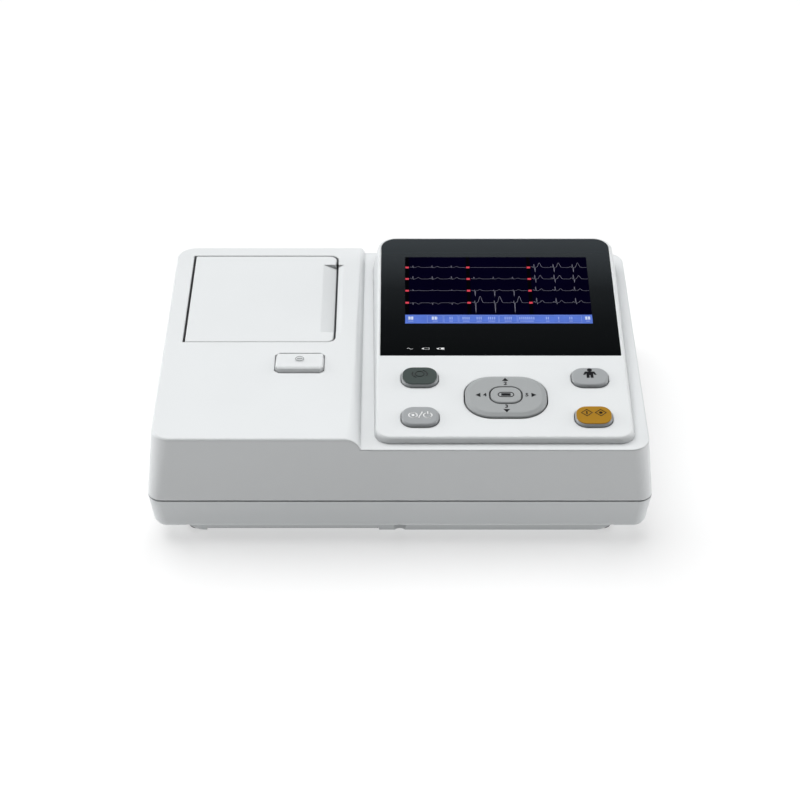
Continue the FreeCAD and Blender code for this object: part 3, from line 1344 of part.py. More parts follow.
def make_key_electronics():
    x = grown(around("keys_x", "2 * key_spread + key_width"), "key_board_margin")
    y = grown(("key_front_middle - key_depth / 2", "key_back_middle + key_depth / 2"), "key_board_margin")
    board = new_body("key_board")
    sketch = sketch_on(board, "key_board_profile", "XY_Plane", "-board_drop - board_thickness")
    rounded(sketch, x, y, "key_board_margin")
    feature(board, "Pad", sketch, "board_thickness")
    node(on_panel(board), "key_board")
    domes = [prism(f"{name}_dome", "z", at, ("-(board_top) - weld", "-(key_stem_foot)"),
                   "dome_width / 2", OCTAGON) for name, at in key_places().items()]
    domes.append(prism("enter_dome", "z", PAD_AT, ("-(board_top) - weld", "-(enter_stem_foot)"),
                       "dome_width / 2", OCTAGON))
    mat = box("mat_sheet", x, y, ("-board_drop", "-(board_top)"))
    node(on_panel(fuse("mat_whole", mat, *domes)), "key_mat")


# Electronics and sockets

def make_boards():
    x = upward("main_board_x", "main_board_width")
    z = upward("main_board_z", "board_thickness")
    main = box("main_board_sheet", x, upward("main_board_y", "main_board_depth"), z)
    chips = [box(f"chip_{i}", upward(f"main_board_x + {i} * chip_pitch + chip_size", "chip_size"),
                 around("main_board_y + main_board_depth / 2", "chip_size"), upward(z[1], "chip_height"))
             for i in range(CHIPS)]
    holes = [prism(f"board_hole_{i}", "z", at, grown(z, "overcut"), "screw_radius + fit_gap", OCTAGON)
             for i, at in enumerate(board_places())]
    node(cut("main_board", fuse("main_board_whole", main, *chips), *holes), "main_board")
    node(cut("power_board", box("power_board_sheet", x, ("power_board_front", "power_board_back"), z), *holes),
         "power_board")
    node(box("transformer", around("main_board_x + main_board_width / 2", "transformer_width"),
             upward("power_board_front + board_margin / 2", "transformer_depth"),
             upward(z[1], "transformer_height")),
         "transformer")


def socket_block(name, depth):
    return box(name + "_block", around(f"{name}_x", f"{name}_width"), (f"rear_face - {depth}", "rear_face"),
               around("socket_height", f"{name}_height"))


def make_rear_panel():
    """The plate that carries the rear sockets, seated from inside against a frame round its hole."""
    x, z = ("recess_x", "recess_end_x"), around("socket_height", "2 * socket_recess_half")
    face = box("plate_face", grown(x, "-fit_gap"), ("plate_back", "rear_face"), grown(z, "-fit_gap"))
    flange = box("plate_flange", grown(x, "recess_margin"), ("plate_back", "plate_seat"),
                 grown(z, "recess_margin"))
    axis = ("earth_x", "socket_height")
    cup = rod("earth_cup", "y", axis, ("earth_floor - case_wall", "rear_face"),
              "earth_cup_radius + earth_cup_wall")
    tools = [rod("earth_cup_hollow", "y", axis, ("earth_floor", "rear_face + overcut"), "earth_cup_radius"),
             rod("earth_hole", "y", axis, ("earth_floor - 2 * case_wall", "earth_floor + overcut"),
                 "earth_pin_radius + shaft_fit")]
    for name in ("inlet", "network", "usb"):
        tools.append(box(name + "_cutout", grown(around(f"{name}_x", f"{name}_width"), "shaft_fit"),
                         ("plate_back - overcut", "rear_face + overcut"),
                         grown(around("socket_height", f"{name}_height"), "shaft_fit")))
    node(cut("rear_panel", fuse("plate_whole", face, flange, cup), *tools), "rear_panel")


def make_mains_inlet():
    left, right = grown(around("inlet_x", "inlet_width"), "-inlet_wall")
    low, high = grown(around("socket_height", "inlet_height"), "-inlet_wall")
    cavity = new_body("inlet_cavity")
    sketch = sketch_on(cavity, "inlet_cavity_profile", "XZ_Plane", "-(rear_face + overcut)")
    outline(sketch, [(left, low), (right, low), (right, f"{high} - inlet_bevel"), (f"{right} - inlet_bevel", high),
                     (f"{left} + inlet_bevel", high), (left, f"{high} - inlet_bevel")])
    feature(cavity, "Pad", sketch, "inlet_cavity_depth + overcut")
    node(cut("mains_inlet", socket_block("inlet", "inlet_depth"), cavity), "mains_inlet")
    places = (("-blade_spread", "-blade_lift"), ("0", "blade_lift"), ("blade_spread", "-blade_lift"))
    blades = [box(f"inlet_blade_{i}", around(f"inlet_x + {across}", "blade_thickness"),
                  upward("rear_face - inlet_cavity_depth", "blade_length"),
                  around(f"socket_height + {lift}", "blade_width")) for i, (across, lift) in enumerate(places)]
    node(group("inlet_blades", *blades), "inlet_blades")


def make_data_sockets():
    network = box("network_cavity", around("network_x", "network_cavity_width"),
                  ("rear_face - network_cavity_depth", "rear_face + overcut"),
                  around("socket_height", "network_cavity_height"))
    node(cut("network_port", socket_block("network", "network_depth"), network), "network_port")
    x = grown(around("usb_x", "usb_width"), "-usb_wall")
    z = grown(around("socket_height", "usb_height"), "-usb_wall")
    cavity = box("usb_cavity", x, ("rear_face - usb_cavity_depth", "rear_face + overcut"), z)
    tongue = box("usb_tongue_bar", grown(x, "-usb_wall"),
                 ("rear_face - usb_cavity_depth - weld", "rear_face - usb_wall"),
                 (f"{z[1]} - usb_wall - usb_tongue", f"{z[1]} - usb_wall"))
    node(fuse("usb_port", cut("usb_shell", socket_block("usb", "usb_depth"), cavity), tongue), "usb_port")


def make_earth_stud():
    axis = ("earth_x", "socket_height")
    nut = upward("earth_floor", "earth_nut_height")
    node(fuse("earth_stud", prism("earth_nut", "y", axis, nut, "earth_nut_radius", HEXAGON),
              rod("earth_pin", "y", axis, upward(nut[1], "earth_pin_length"), "earth_pin_radius"),
              rod("earth_root", "y", axis, ("earth_floor - 2 * case_wall", "earth_floor"), "earth_pin_radius")),
         "earth_stud")


def make_patient_socket():
    shell = new_body("patient_shell")
    sketch = sketch_on(shell, "patient_shell_profile", "YZ_Plane", "side_face - patient_depth")
    outline(sketch, patient_outline("0"))
    feature(shell, "Pad", sketch, "patient_depth + socket_recess_depth / 2")
    seat = "side_face - socket_pad"
    flange = box("patient_flange_plate", (f"{seat} - patient_flange", seat),
                 around("patient_y", "patient_flange_width"), around("socket_height", "patient_flange_height"))
    holes = [rod(f"flange_hole_{i}", "x", at, (f"{seat} - socket_pad", "side_face"),
                 "jack_thread_radius + socket_clearance") for i, at in enumerate(jack_places())]
    node(cut("patient_socket", fuse("patient_whole", shell, flange), *holes), "patient_socket")
    nuts = []
    for i, at in enumerate(jack_places()):
        post = prism(f"jack_post_{i}", "x", at, upward(seat, "jack_length"), "jack_radius", HEXAGON)
        bore = rod(f"jack_bore_{i}", "x", at, grown(upward(seat, "jack_length"), "overcut"), "jack_thread_radius")
        nuts.append(cut(f"jack_nut_{i}", post, bore))
    node(group("jack_nuts", *nuts), "jack_nuts")


def check_and_write():
    doc.recompute()
    for thing in doc.Objects:
        if {"Invalid", "Error"} & set(thing.State):
            raise RuntimeError(f"{thing.Name} failed: {thing.State}")
    for part in nodes:
        if part.Shape.isNull() or not part.Shape.isValid() or not part.Shape.Solids:
            raise RuntimeError(f"{part.Label} has no valid shape")
    os.makedirs("parts", exist_ok=True)
    for part in nodes:
        part.Shape.exportStep(f"parts/{part.Label}.step")


def main():
    make_upper_housing()
    make_lower_housing()
    make_fasteners()
    make_feet()
    make_battery()
    make_door()
    make_release()
    make_latch()
    make_tray()
    make_roll()
    make_platen()
    make_motor()
    make_head()
    make_panel()
    make_display()
    make_keys()
    make_rocker()
    make_rocker_bracket()
    make_enter_key()
    make_key_electronics()
    make_boards()
    make_rear_panel()
    make_mains_inlet()
    make_data_sockets()
    make_earth_stud()
    make_patient_socket()
    check_and_write()


main()
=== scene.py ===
"""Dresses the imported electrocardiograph: finishes, soft keys, a lit screen, symbols and a studio."""
import json
import math

import bmesh
import bpy
from bpy.props import FloatProperty, FloatVectorProperty, PointerProperty
from mathutils import Matrix, Vector


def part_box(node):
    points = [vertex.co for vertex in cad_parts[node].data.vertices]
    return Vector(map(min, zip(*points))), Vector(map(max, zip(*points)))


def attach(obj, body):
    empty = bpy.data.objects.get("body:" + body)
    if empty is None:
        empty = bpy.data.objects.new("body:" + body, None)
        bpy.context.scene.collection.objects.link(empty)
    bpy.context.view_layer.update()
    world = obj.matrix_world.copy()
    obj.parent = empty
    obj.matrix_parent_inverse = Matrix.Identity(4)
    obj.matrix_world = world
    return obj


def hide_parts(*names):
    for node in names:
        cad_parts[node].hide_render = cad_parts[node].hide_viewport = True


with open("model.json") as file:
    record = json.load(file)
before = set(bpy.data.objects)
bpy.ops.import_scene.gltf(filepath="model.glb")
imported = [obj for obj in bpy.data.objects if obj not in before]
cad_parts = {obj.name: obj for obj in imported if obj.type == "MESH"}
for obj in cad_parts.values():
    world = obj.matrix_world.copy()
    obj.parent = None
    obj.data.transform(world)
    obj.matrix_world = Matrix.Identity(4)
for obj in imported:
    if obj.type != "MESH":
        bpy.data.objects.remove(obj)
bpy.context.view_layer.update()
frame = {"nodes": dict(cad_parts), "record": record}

bl_info = {
    "name": "Electrocardiograph Dressing",
    "version": (1, 0, 0),
    "blender": (4, 5, 0),
    "location": "3D View > Sidebar > Electrocardiograph",
    "description": "Gives the packed electrocardiograph its finishes, keys, screen, symbols and studio",
    "category": "Object",
}

NODE_SLOTS = {part["node"]: part["material_slot"] for part in frame["record"]["subparts"]}
NODE_BODIES = {node: body for body, nodes in frame["record"]["behaviour"]["bodies"].items()
               for node in nodes}

MM = 0.001
# Slack for telling whether points are at one height
TINY = 0.02 * MM
# Thickness of one printed layer
INK = 0.05 * MM
CORNER_STEPS = 8
EDGE_STEPS = 5
HOLE_STEPS = 3
# Rounding of a sloping rim's inner edge, as a share of its width
RIM_ROUNDING = 0.3
SMOOTH_ANGLE = math.radians(24)
FLAT_ANGLE = math.radians(0.4)

# Ending of the finishes' names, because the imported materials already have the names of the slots
FINISH = "_finish"
# Painted shade: share of its colour that moulded plastic loses in a crevice, where shade falls, and how far
# away the crevice's walls may be
PAINTED_CREVICE_SHADE = 0.3
PAINTED_SHADE_REACH = 14 * MM

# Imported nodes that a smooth-shaded copy stands for
SHELLS = ("upper_housing", "lower_housing", "control_panel", "paper_door", "release_button",
          "display_window", "battery_cover", "rubber_feet", "paper_roll", "platen_roller", "platen_shaft",
          "roll_spindle", "paper_tray", "rear_panel", "earth_stud", "patient_socket", "mains_inlet")
OWN_FINISHES = {"release_button": "button_white"}

# Widths of printed lines, in millimetres
HAIR_LINE = 0.35
LAMP_LINE = 0.4
FINE_LINE = 0.6
BOLD_LINE = 0.75
# Thickening of printed figures, as a share of their size
BOLDNESS = 0.03

# Soft keys of the picture, as shares of its width: edges, groups of short bars, and icons
SOFT_KEY_EDGES = (0.115, 0.205, 0.285, 0.50, 0.60, 0.945)
SOFT_KEY_BARS = ((0.03, 3), (0.16, 3), (0.245, 2), (0.325, 4), (0.395, 3), (0.462, 4), (0.55, 4),
                 (0.65, 8), (0.76, 2), (0.82, 1), (0.885, 2), (0.975, 2))
SOFT_KEY_ICONS = (0.03, 0.155, 0.975)
# Places of the bars and of the lines under them, as shares of the soft keys' depth
BARS_UP = 0.60
LINES_UP = 0.26

# Heart traces: for each column and row, the heights of the sharp wave, the dip and the late wave
LEAD_FORMS = (
    ((0.9, -0.2, 0.5), (1.3, -0.3, 0.7), (0.6, 0.0, 0.2), (-0.9, 0.1, -0.6)),
    ((0.1, 0.0, 0.0), (1.0, 0.0, 0.4), (0.5, -2.6, 0.5), (1.0, -4.6, 2.8)),
    ((1.6, -2.3, 2.1), (2.0, -1.7, 1.6), (1.9, 0.0, 0.9), (2.2, -0.7, 1.0)),
)
# Rows of traces, as shares of the picture's depth from its back edge
LEAD_ROWS = (0.163, 0.339, 0.517, 0.697)
TRACE_STEPS = 330
# Height in millimetres of a wave of height 1, beats in a trace, and where in a beat it starts
TRACE_HEIGHT = 2.2
BEATS = 2.9
FIRST_PHASE = 0.18


def width_of(node):
    """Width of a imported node, in millimetres."""
    low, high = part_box(node)
    return (high.x - low.x) / MM


def middle_of(node):
    """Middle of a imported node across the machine, in millimetres."""
    low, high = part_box(node)
    return (low.x + high.x) / 2 / MM


PANEL_X = middle_of("control_panel")
KEYPAD_X = middle_of("navigation_pad")


def colour(label, words, value):
    """A setting that is a colour."""
    return FloatVectorProperty(name=label, description=words, default=value, subtype="COLOR", min=0, max=1)


def length(label, words, value):
    """A setting that is a length, given in millimetres."""
    return FloatProperty(name=label, description=words, default=value * MM, unit="LENGTH", precision=5)


def angle(label, words, degrees):
    """A setting that is an angle, given in degrees."""
    return FloatProperty(name=label, description=words, default=math.radians(degrees), subtype="ANGLE")


def amount(label, words, value):
    """A setting that is a plain number."""
    return FloatProperty(name=label, description=words, default=value, min=0)


def place(label, words, value):
    """A setting that is a point, given in metres."""
    return FloatVectorProperty(name=label, description=words, default=value, subtype="XYZ", unit="LENGTH",
                               precision=6)


class RecorderSizes(bpy.types.PropertyGroup):
    """Places and sizes of the pieces that are modelled here; panel places run from its front middle."""
    panel_base: place("Panel base", "Middle of the control panel's front edge",
                      (PANEL_X * MM, -94.6 * MM, 65.3702 * MM))
    panel_tilt: angle("Panel tilt", "Slope of the control panel", 4.7)
    keys_x: length("Keys middle", "Middle of the keypad across the panel", KEYPAD_X - PANEL_X)
    key_spread: length("Key spread", "Distance of the corner keys from the keypad's middle",
                       KEYPAD_X - middle_of("mode_key"))
    key_width: length("Key width", "Width of a corner key", 20.6)
    key_depth: length("Key depth", "Depth of a corner key", 16.0)
    key_corner: length("Key corner", "Corner radius of a corner key", 6.6)
    key_front: length("Front keys", "Place of the front row of keys up the panel", 16.6)
    key_back: length("Back keys", "Place of the back row of keys up the panel", 50.7)
    key_rise: length("Key rise", "Height of a key over the panel", 2.0)
    key_foot: length("Key foot", "Depth of a key's foot under the panel", 4.0)
    key_edge: length("Key edge", "Rounding of a key's upper edge", 1.5)
    inlay_margin: length("Inlay margin", "Rim of a key round its coloured inlay", 0.7)
    inlay_rise: length("Inlay rise", "Height of a coloured inlay over its key", 0.3)
    inlay_edge: length("Inlay edge", "Rounding of a coloured inlay's upper edge", 0.25)
    pad_width: length("Pad width", "Width of the navigation pad", width_of("navigation_pad"))
    pad_depth: length("Pad depth", "Depth of the navigation pad", 35.2)
    pad_corner: length("Pad corner", "Corner radius of the navigation pad", 15.0)
    pad_middle: length("Pad middle", "Place of the navigation pad up the panel", 34.0)
    pad_foot: length("Pad foot", "Depth of the navigation pad's foot under the panel", 1.8)
    pad_edge: length("Pad edge", "Rounding of the upper edges of the pad and its middle key", 0.9)
    pad_rim: length("Pad rim", "Width of the navigation pad's sloping rim", 1.8)
    pad_drop: length("Pad drop", "Fall of the navigation pad's sloping rim", 0.8)
    enter_width: length("Enter width", "Width of the key in the pad's middle", width_of("enter_key"))
    enter_depth: length("Enter depth", "Depth of the key in the pad's middle", 13.8)
    enter_corner: length("Enter corner", "Corner radius of the key in the pad's middle", 5.8)
    enter_rise: length("Enter rise", "Height of the pad's middle key over the panel", 2.3)
    enter_foot: length("Enter foot", "Depth of the pad's middle key under the panel", 5.0)
    enter_gap: length("Enter gap", "Room round the pad's middle key, for the pad to rock in", 0.65)
    well_edge: length("Well edge", "Rounding of the pad's edge round its middle key", 0.5)
    well_reach: length("Well reach", "Height of the cut for the pad's middle key, up and down", 6.0)
    cutter_edge: length("Cutter edge", "Rounding of that cut's upper end, clear of the pad", 0.1)
    lamps: length("Lamps", "Place of the lamp symbols up the panel", 77.7)
    screen_width: length("Screen width", "Width of the lit picture", 108.0)
    screen_depth: length("Screen depth", "Depth of the lit picture", 64.8)
    screen_middle: length("Screen middle", "Place of the lit picture up the panel", 133.4)
    screen_corner: length("Screen corner", "Corner radius of the lit picture", 0.2)
    screen_edge: length("Screen edge", "Rounding of the lit picture's upper edge", 0.02)
    screen_sink: length("Screen sink", "Depth of the lit picture under the window's face", 0.5)
    film: length("Film", "Thickness of the picture over the window's face", 0.06)
    toolbar: length("Toolbar", "Depth of the picture's bar of soft keys", 8.2)
    trace: length("Trace", "Width of a drawn heart trace", 0.22)
    step_left: length("Step left", "Left end of the housing's step at the front", -29.5)
    step_right: length("Step right", "Right end of the housing's step at the front", -21.3)
    step_front: length("Step front", "Hindmost place of the step's front edges", -99.0)
    step_foot: length("Step foot", "Lowest place of the step's front edges", 61.0)


class RecorderColours(bpy.types.PropertyGroup):
    """Colours of the machine's finishes."""
    case: colour("Case", "Upper case, panel and door", (0.735, 0.755, 0.764))
    lower: colour("Lower case", "Lower case and plinth", (0.69, 0.714, 0.724))
    cover: colour("Cover", "Battery cover", (0.60, 0.62, 0.63))
    key: colour("Keys", "Corner keys", (0.34, 0.355, 0.365))
    pad: colour("Pad", "Navigation pad and its middle key", (0.355, 0.37, 0.375))
    green: colour("Green inlay", "Inlay of the mode key", (0.065, 0.082, 0.078))
    ochre: colour("Ochre inlay", "Inlay of the start key", (0.37, 0.19, 0.012))
    glass: colour("Glass", "Window over the display", (0.0052, 0.0060, 0.0066))
    picture: colour("Picture", "Ground of the lit picture", (0.0006, 0.0003, 0.0046))
    bar: colour("Bar", "Picture's bar of soft keys", (0.062, 0.115, 0.40))
    line: colour("Line", "Heart traces", (0.12, 0.12, 0.15))
    mark: colour("Mark", "Lead marks of the picture", (0.42, 0.035, 0.055))
    ink: colour("Ink", "Dark symbols", (0.012, 0.012, 0.014))
    floor: colour("Floor", "Studio floor", (0.50, 0.50, 0.50))


class RecorderStudio(bpy.types.PropertyGroup):
    """Floor, lights and camera of the studio."""
    floor_size: length("Floor size", "Length of the floor's sides", 40000.0)
    floor_glow: amount("Floor glow", "Light that the floor gives off", 0.49)
    sun: amount("Overhead light", "Strength of the overhead light", 3.1)
    sun_spread: angle("Overhead spread", "Softness of the overhead light", 60)
    sun_back: angle("Overhead back", "Lean of the overhead light to the back", 20)
    sun_left: angle("Overhead left", "Lean of the overhead light to the left", 11)
    side: amount("Side lights", "Strength of the light on each side", 1.6)
    side_spread: angle("Side spread", "Softness of the side lights", 40)
    side_lean: angle("Side lean", "Lean of the side lights from straight overhead", 82)
    side_turn: angle("Side turn", "Turn of the side lights about the upright", 12)
    sky: amount("Sky", "Strength of the light from all round", 0.12)
    camera: place("Camera", "Place of the camera", (0, -1.0951, 0.7882))
    camera_fall: angle("Camera fall", "Fall of the camera's line of sight", 34.9)
    lens: amount("Lens", "Focal length in millimetres", 102.6)


class Value:
    """A number inside a material; arithmetic on it adds Math nodes."""

    def __init__(self, finish, socket):
        self.finish = finish
        self.socket = socket

    def math(self, operation, first, second):
        node = self.finish.add("Math", {"operation": operation}, {0: first, 1: second})
        return Value(self.finish, node.outputs[0])

    def __add__(self, other):
        return self.math("ADD", self, other)

    __radd__ = __add__

    def __sub__(self, other):
        return self.math("SUBTRACT", self, other)

    def __rsub__(self, other):
        return self.math("SUBTRACT", other, self)

    def __mul__(self, other):
        return self.math("MULTIPLY", self, other)

    __rmul__ = __mul__


class Finish:
    """A material under construction."""

    def __init__(self, name):
        self.material = bpy.data.materials.new(name + FINISH)
        self.material.use_nodes = True
        self.tree = self.material.node_tree
        self.shader = self.tree.nodes["Principled BSDF"]
        self.place = self.add("TexCoord", {}, {}).outputs["Object"]

    def feed(self, socket, value):
        """Links a socket to a value of the material, or sets it to a constant."""
        if isinstance(value, Value):
            value = value.socket
        if isinstance(value, bpy.types.NodeSocket):
            self.tree.links.new(value, socket)
        else:
            socket.default_value = value

    def add(self, kind, settings, sockets):
        """Adds a node of a type with its settings, and feeds its sockets."""
        node = self.tree.nodes.new("ShaderNode" + kind)
        for key, value in settings.items():
            if key == "stops":
                ramp = node.color_ramp.elements
                while len(ramp) < len(value):
                    ramp.new(0.5)
                for stop, (at, tint) in zip(ramp, value):
                    stop.position = at
                    stop.color = (*tint, 1.0)
            else:
                setattr(node, key, value)
        for key, value in sockets.items():
            self.feed(node.inputs[key], value)
        return node

    def set(self, **sockets):
        """Feeds the shader's sockets, named with _ for a space."""
        for key, value in sockets.items():
            self.feed(self.shader.inputs[key.replace("_", " ")], value)

    def noise(self, scale, detail=3.0):
        node = self.add("TexNoise", {}, {"Vector": self.place, "Scale": scale, "Detail": detail})
        return Value(self, node.outputs["Fac"])

    def blend(self, share, dark, light):
        """A colour between two, that are sockets or tuples."""
        ends = [(*end, 1.0) if isinstance(end, tuple) else end for end in (dark, light)]
        return self.add("Mix", {"data_type": "RGBA"}, {0: share, 6: ends[0], 7: ends[1]}).outputs[2]

    def relief(self, height, strength, depth, edge):
        """A surface's normal: fine relief over edges that are rounded a little, in millimetres."""
        rounded = self.add("Bevel", {"samples": 6}, {"Radius": edge * MM}).outputs[0]
        bump = self.add("Bump", {}, {"Strength": strength, "Distance": depth * MM, "Height": height,
                                     "Normal": rounded})
        return bump.outputs[0]


def shade(tint, share):
    """A colour made darker or lighter by a share."""
    return tuple(channel * share for channel in tint)


def opaque(tint):
    """A colour with the full alpha that a colour socket takes."""
    return (*tint, 1.0)


def moulded(name, tint, roughness=0.42, grain=0.10, edge=0.7, variation=0.035, coat=0.0):
    """Moulded plastic with a fine eroded grain, faint clouds, slightly worn gloss, and painted shade that
    darkens its colour in crevices.
    """
    finish = Finish(name)
    clouds, fine, wear = finish.noise(14.0), finish.noise(2600.0, 2.0), finish.noise(60.0)
    clouded = finish.blend(clouds, shade(tint, 1 - variation), shade(tint, 1 + variation / 2))
    # Painted shade: the colour darkens where other surfaces are near, in crevices, gaps and under things
    openness_for_painted_shade = finish.add("AmbientOcclusion", {"samples": 6}, {"Distance": PAINTED_SHADE_REACH}).outputs["AO"]
    finish.set(Base_Color=finish.blend(openness_for_painted_shade, shade(tint, 1 - PAINTED_CREVICE_SHADE), clouded),
               Roughness=roughness + 0.10 * (wear - 0.5), Coat_Weight=coat,
               Normal=finish.relief(fine, grain, 0.05, edge))
    return finish.material


def ink(name, tint, variation):
    """Matt printing ink."""
    return moulded(name, tint, roughness=0.5, grain=0.05, edge=0.05, variation=variation)


def glossy_window(name, tint):
    """Black acrylic with a painted reflection that makes it paler towards the back, and faint wipe marks."""
    finish = Finish(name)
    low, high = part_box("display_window")
    axes = finish.add("SeparateXYZ", {}, {0: finish.place})
    along = finish.add("MapRange", {}, {"Value": axes.outputs["Y"], "From Min": low.y, "From Max": high.y})
    # Painted reflection: shares of the glass colour from the window's front to its back, growing paler as if
    # the room were mirrored in it
    painted_reflection_stops = ((0.0, 0.8), (0.27, 1.2), (0.55, 2.3), (0.85, 6.4), (1.0, 8.0))
    ramp = finish.add("ValToRGB", {"stops": [(at, shade(tint, share)) for at, share in painted_reflection_stops]},
                      {"Fac": along.outputs[0]})
    finish.set(Base_Color=ramp.outputs["Color"], Roughness=0.07 + 0.06 * finish.noise(35.0),
               Normal=finish.relief(finish.noise(300.0), 0.01, 0.02, 0.3),
               Coat_Weight=0.6, Coat_Roughness=0.04)
    return finish.material


def lit(name, tint, glow, variation=0.2, scale=220.0):
    """A part of the lit picture: it shines by itself under the window's gloss."""
    finish = Finish(name)
    ripple = finish.blend(finish.noise(scale), shade(tint, 1 - variation), shade(tint, 1 + variation / 2))
    finish.set(Base_Color=ripple, Emission_Color=ripple, Emission_Strength=glow, Specular_IOR_Level=0.1,
               Roughness=0.10 + 0.05 * finish.noise(35.0))
    return finish.material


def metal(name, tint, roughness, stretch):
    """Metal with fine drawn lines across it."""
    finish = Finish(name)
    drawn = finish.add("Mapping", {}, {"Vector": finish.place, "Scale": stretch})
    lines = finish.add("TexNoise", {}, {"Vector": drawn.outputs[0], "Scale": 900.0, "Detail": 4.0})
    line = Value(finish, lines.outputs["Fac"])
    finish.set(Base_Color=finish.blend(line, shade(tint, 0.86), tint), Metallic=1.0,
               Roughness=roughness + 0.16 * line, Normal=finish.relief(line, 0.06, 0.03, 0.2))
    return finish.material


def chart_paper(name, tint):
    """Recorder paper with a faint printed grid of 5 mm squares."""
    finish = Finish(name)
    grid = finish.add("TexBrick", {"offset": 0.0}, {
        "Vector": finish.place, "Scale": 200.0, "Mortar Size": 0.02, "Brick Width": 1.0,
        "Row Height": 1.0, "Color1": opaque(tint), "Color2": opaque(shade(tint, 0.985)),
        "Mortar": opaque((0.72, 0.42, 0.38))})
    finish.set(Base_Color=grid.outputs["Color"], Roughness=0.72 + 0.12 * finish.noise(500.0),
               Normal=finish.relief(finish.noise(1800.0), 0.12, 0.03, 0.2))
    return finish.material


def circuit_board(name, tint):
    """Lacquered board with the pale pattern of its tracks."""
    finish = Finish(name)
    tracks = finish.add("TexBrick", {}, {
        "Vector": finish.place, "Scale": 120.0, "Mortar Size": 0.08, "Color1": opaque(tint),
        "Color2": opaque(shade(tint, 0.8)), "Mortar": opaque(shade(tint, 1.5))})
    finish.set(Base_Color=tracks.outputs["Color"], Roughness=0.30 + 0.15 * finish.noise(90.0),
               Normal=finish.relief(finish.noise(900.0), 0.10, 0.03, 0.2))
    return finish.material


def slot_finishes(tints):
    """The finish of each of the record's material slots, and of the pieces with a finish of their own."""
    plastics = {
        "white_case": dict(tint=tints.case, edge=1.3),
        "button_white": dict(tint=shade(tints.case, 0.98), edge=0.3),
        "lower_case": dict(tint=tints.lower),
        "cover_grey": dict(tint=tints.cover),
        "key_grey": dict(tint=tints.key, roughness=0.38, grain=0.05, edge=0.4, variation=0.05),
        "pad_grey": dict(tint=tints.pad, roughness=0.36, grain=0.05, edge=0.4, variation=0.05),
        "green_inlay": dict(tint=tints.green, roughness=0.30, grain=0.03, edge=0.2, variation=0.10,
                            coat=0.2),
        "ochre_inlay": dict(tint=tints.ochre, roughness=0.34, grain=0.03, edge=0.2, variation=0.10,
                            coat=0.1),
        "screen": dict(tint=tints.picture, roughness=0.12, grain=0.01, edge=0.2),
        "rubber": dict(tint=(0.030, 0.030, 0.032), roughness=0.75, grain=0.30, edge=0.5, variation=0.20),
        "gear_plastic": dict(tint=(0.70, 0.68, 0.62), roughness=0.40, grain=0.05, edge=0.2),
        "tray_plastic": dict(tint=(0.20, 0.21, 0.22), roughness=0.55, grain=0.20, edge=0.5,
                             variation=0.08),
        "ceramic": dict(tint=(0.62, 0.58, 0.52), roughness=0.22, grain=0.03, edge=0.2, variation=0.06,
                        coat=0.3),
        "black_plastic": dict(tint=(0.022, 0.022, 0.025), roughness=0.45, grain=0.15, edge=0.3,
                              variation=0.15),
        "battery_wrap": dict(tint=(0.05, 0.07, 0.16), roughness=0.25, grain=0.06, edge=0.4,
                             variation=0.10, coat=0.3),
        "transformer_iron": dict(tint=(0.16, 0.15, 0.12), roughness=0.35, grain=0.20, edge=0.3,
                                 variation=0.15),
    }
    metals = {
        "steel": dict(tint=(0.55, 0.55, 0.56), roughness=0.26, stretch=(1.0, 0.05, 1.0)),
        "nickel": dict(tint=(0.68, 0.66, 0.62), roughness=0.16, stretch=(1.0, 0.2, 1.0)),
        "alloy": dict(tint=(0.62, 0.63, 0.65), roughness=0.36, stretch=(1.0, 1.0, 0.1)),
        "port_shell": dict(tint=(0.60, 0.60, 0.61), roughness=0.24, stretch=(1.0, 0.1, 1.0)),
    }
    finishes = {name: moulded(name, **look) for name, look in plastics.items()}
    finishes.update({name: metal(name, **look) for name, look in metals.items()})
    finishes["window_black"] = glossy_window("window_black", tints.glass)
    finishes["paper"] = chart_paper("paper", (0.88, 0.84, 0.81))
    finishes["circuit"] = circuit_board("circuit", (0.02, 0.16, 0.08))
    return finishes


def finish_of(name):
    """The finish that was made for a slot, or for a piece of its own."""
    return bpy.data.materials[name + FINISH]


def deselect():
    """Leaves edit mode, with nothing selected."""
    if bpy.context.object and bpy.context.object.mode != "OBJECT":
        bpy.ops.object.mode_set(mode="OBJECT")
    bpy.ops.object.select_all(action="DESELECT")


def take_up(piece):
    """Makes a piece the only selected one."""
    deselect()
    bpy.context.view_layer.objects.active = piece
    piece.select_set(True)


def choose(piece, kind, test):
    """In edit mode, selects the edges or faces that pass a test."""
    bpy.ops.mesh.select_mode(type=kind)
    bpy.ops.mesh.select_all(action="DESELECT")
    mesh = bmesh.from_edit_mesh(piece.data)
    for part in mesh.edges if kind == "EDGE" else mesh.faces:
        part.select_set(test(part))
    bmesh.update_edit_mesh(piece.data)


def panel_frame():
    """The control panel's own axes: across, up its slope, and out of it."""
    sizes = bpy.context.scene.recorder_sizes
    return Matrix.Translation(Vector(sizes.panel_base)) @ Matrix.Rotation(sizes.panel_tilt, 4, "X")


def settle(piece, name, body, material, axes=None):
    """Puts a finished piece in its place, with its finish, on its body."""
    take_up(piece)
    piece.name = name
    piece.data.name = name
    if axes is not None:
        piece.matrix_world = axes
    bpy.ops.object.transform_apply(location=True, rotation=True, scale=True)
    bpy.ops.object.shade_smooth_by_angle(angle=SMOOTH_ANGLE)
    bpy.ops.object.modifier_add(type="WEIGHTED_NORMAL")
    piece.modifiers[-1].keep_sharp = True
    bpy.ops.object.modifier_apply(modifier=piece.modifiers[-1].name)
    piece.data.materials.clear()
    piece.data.materials.append(material)
    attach(piece, body)


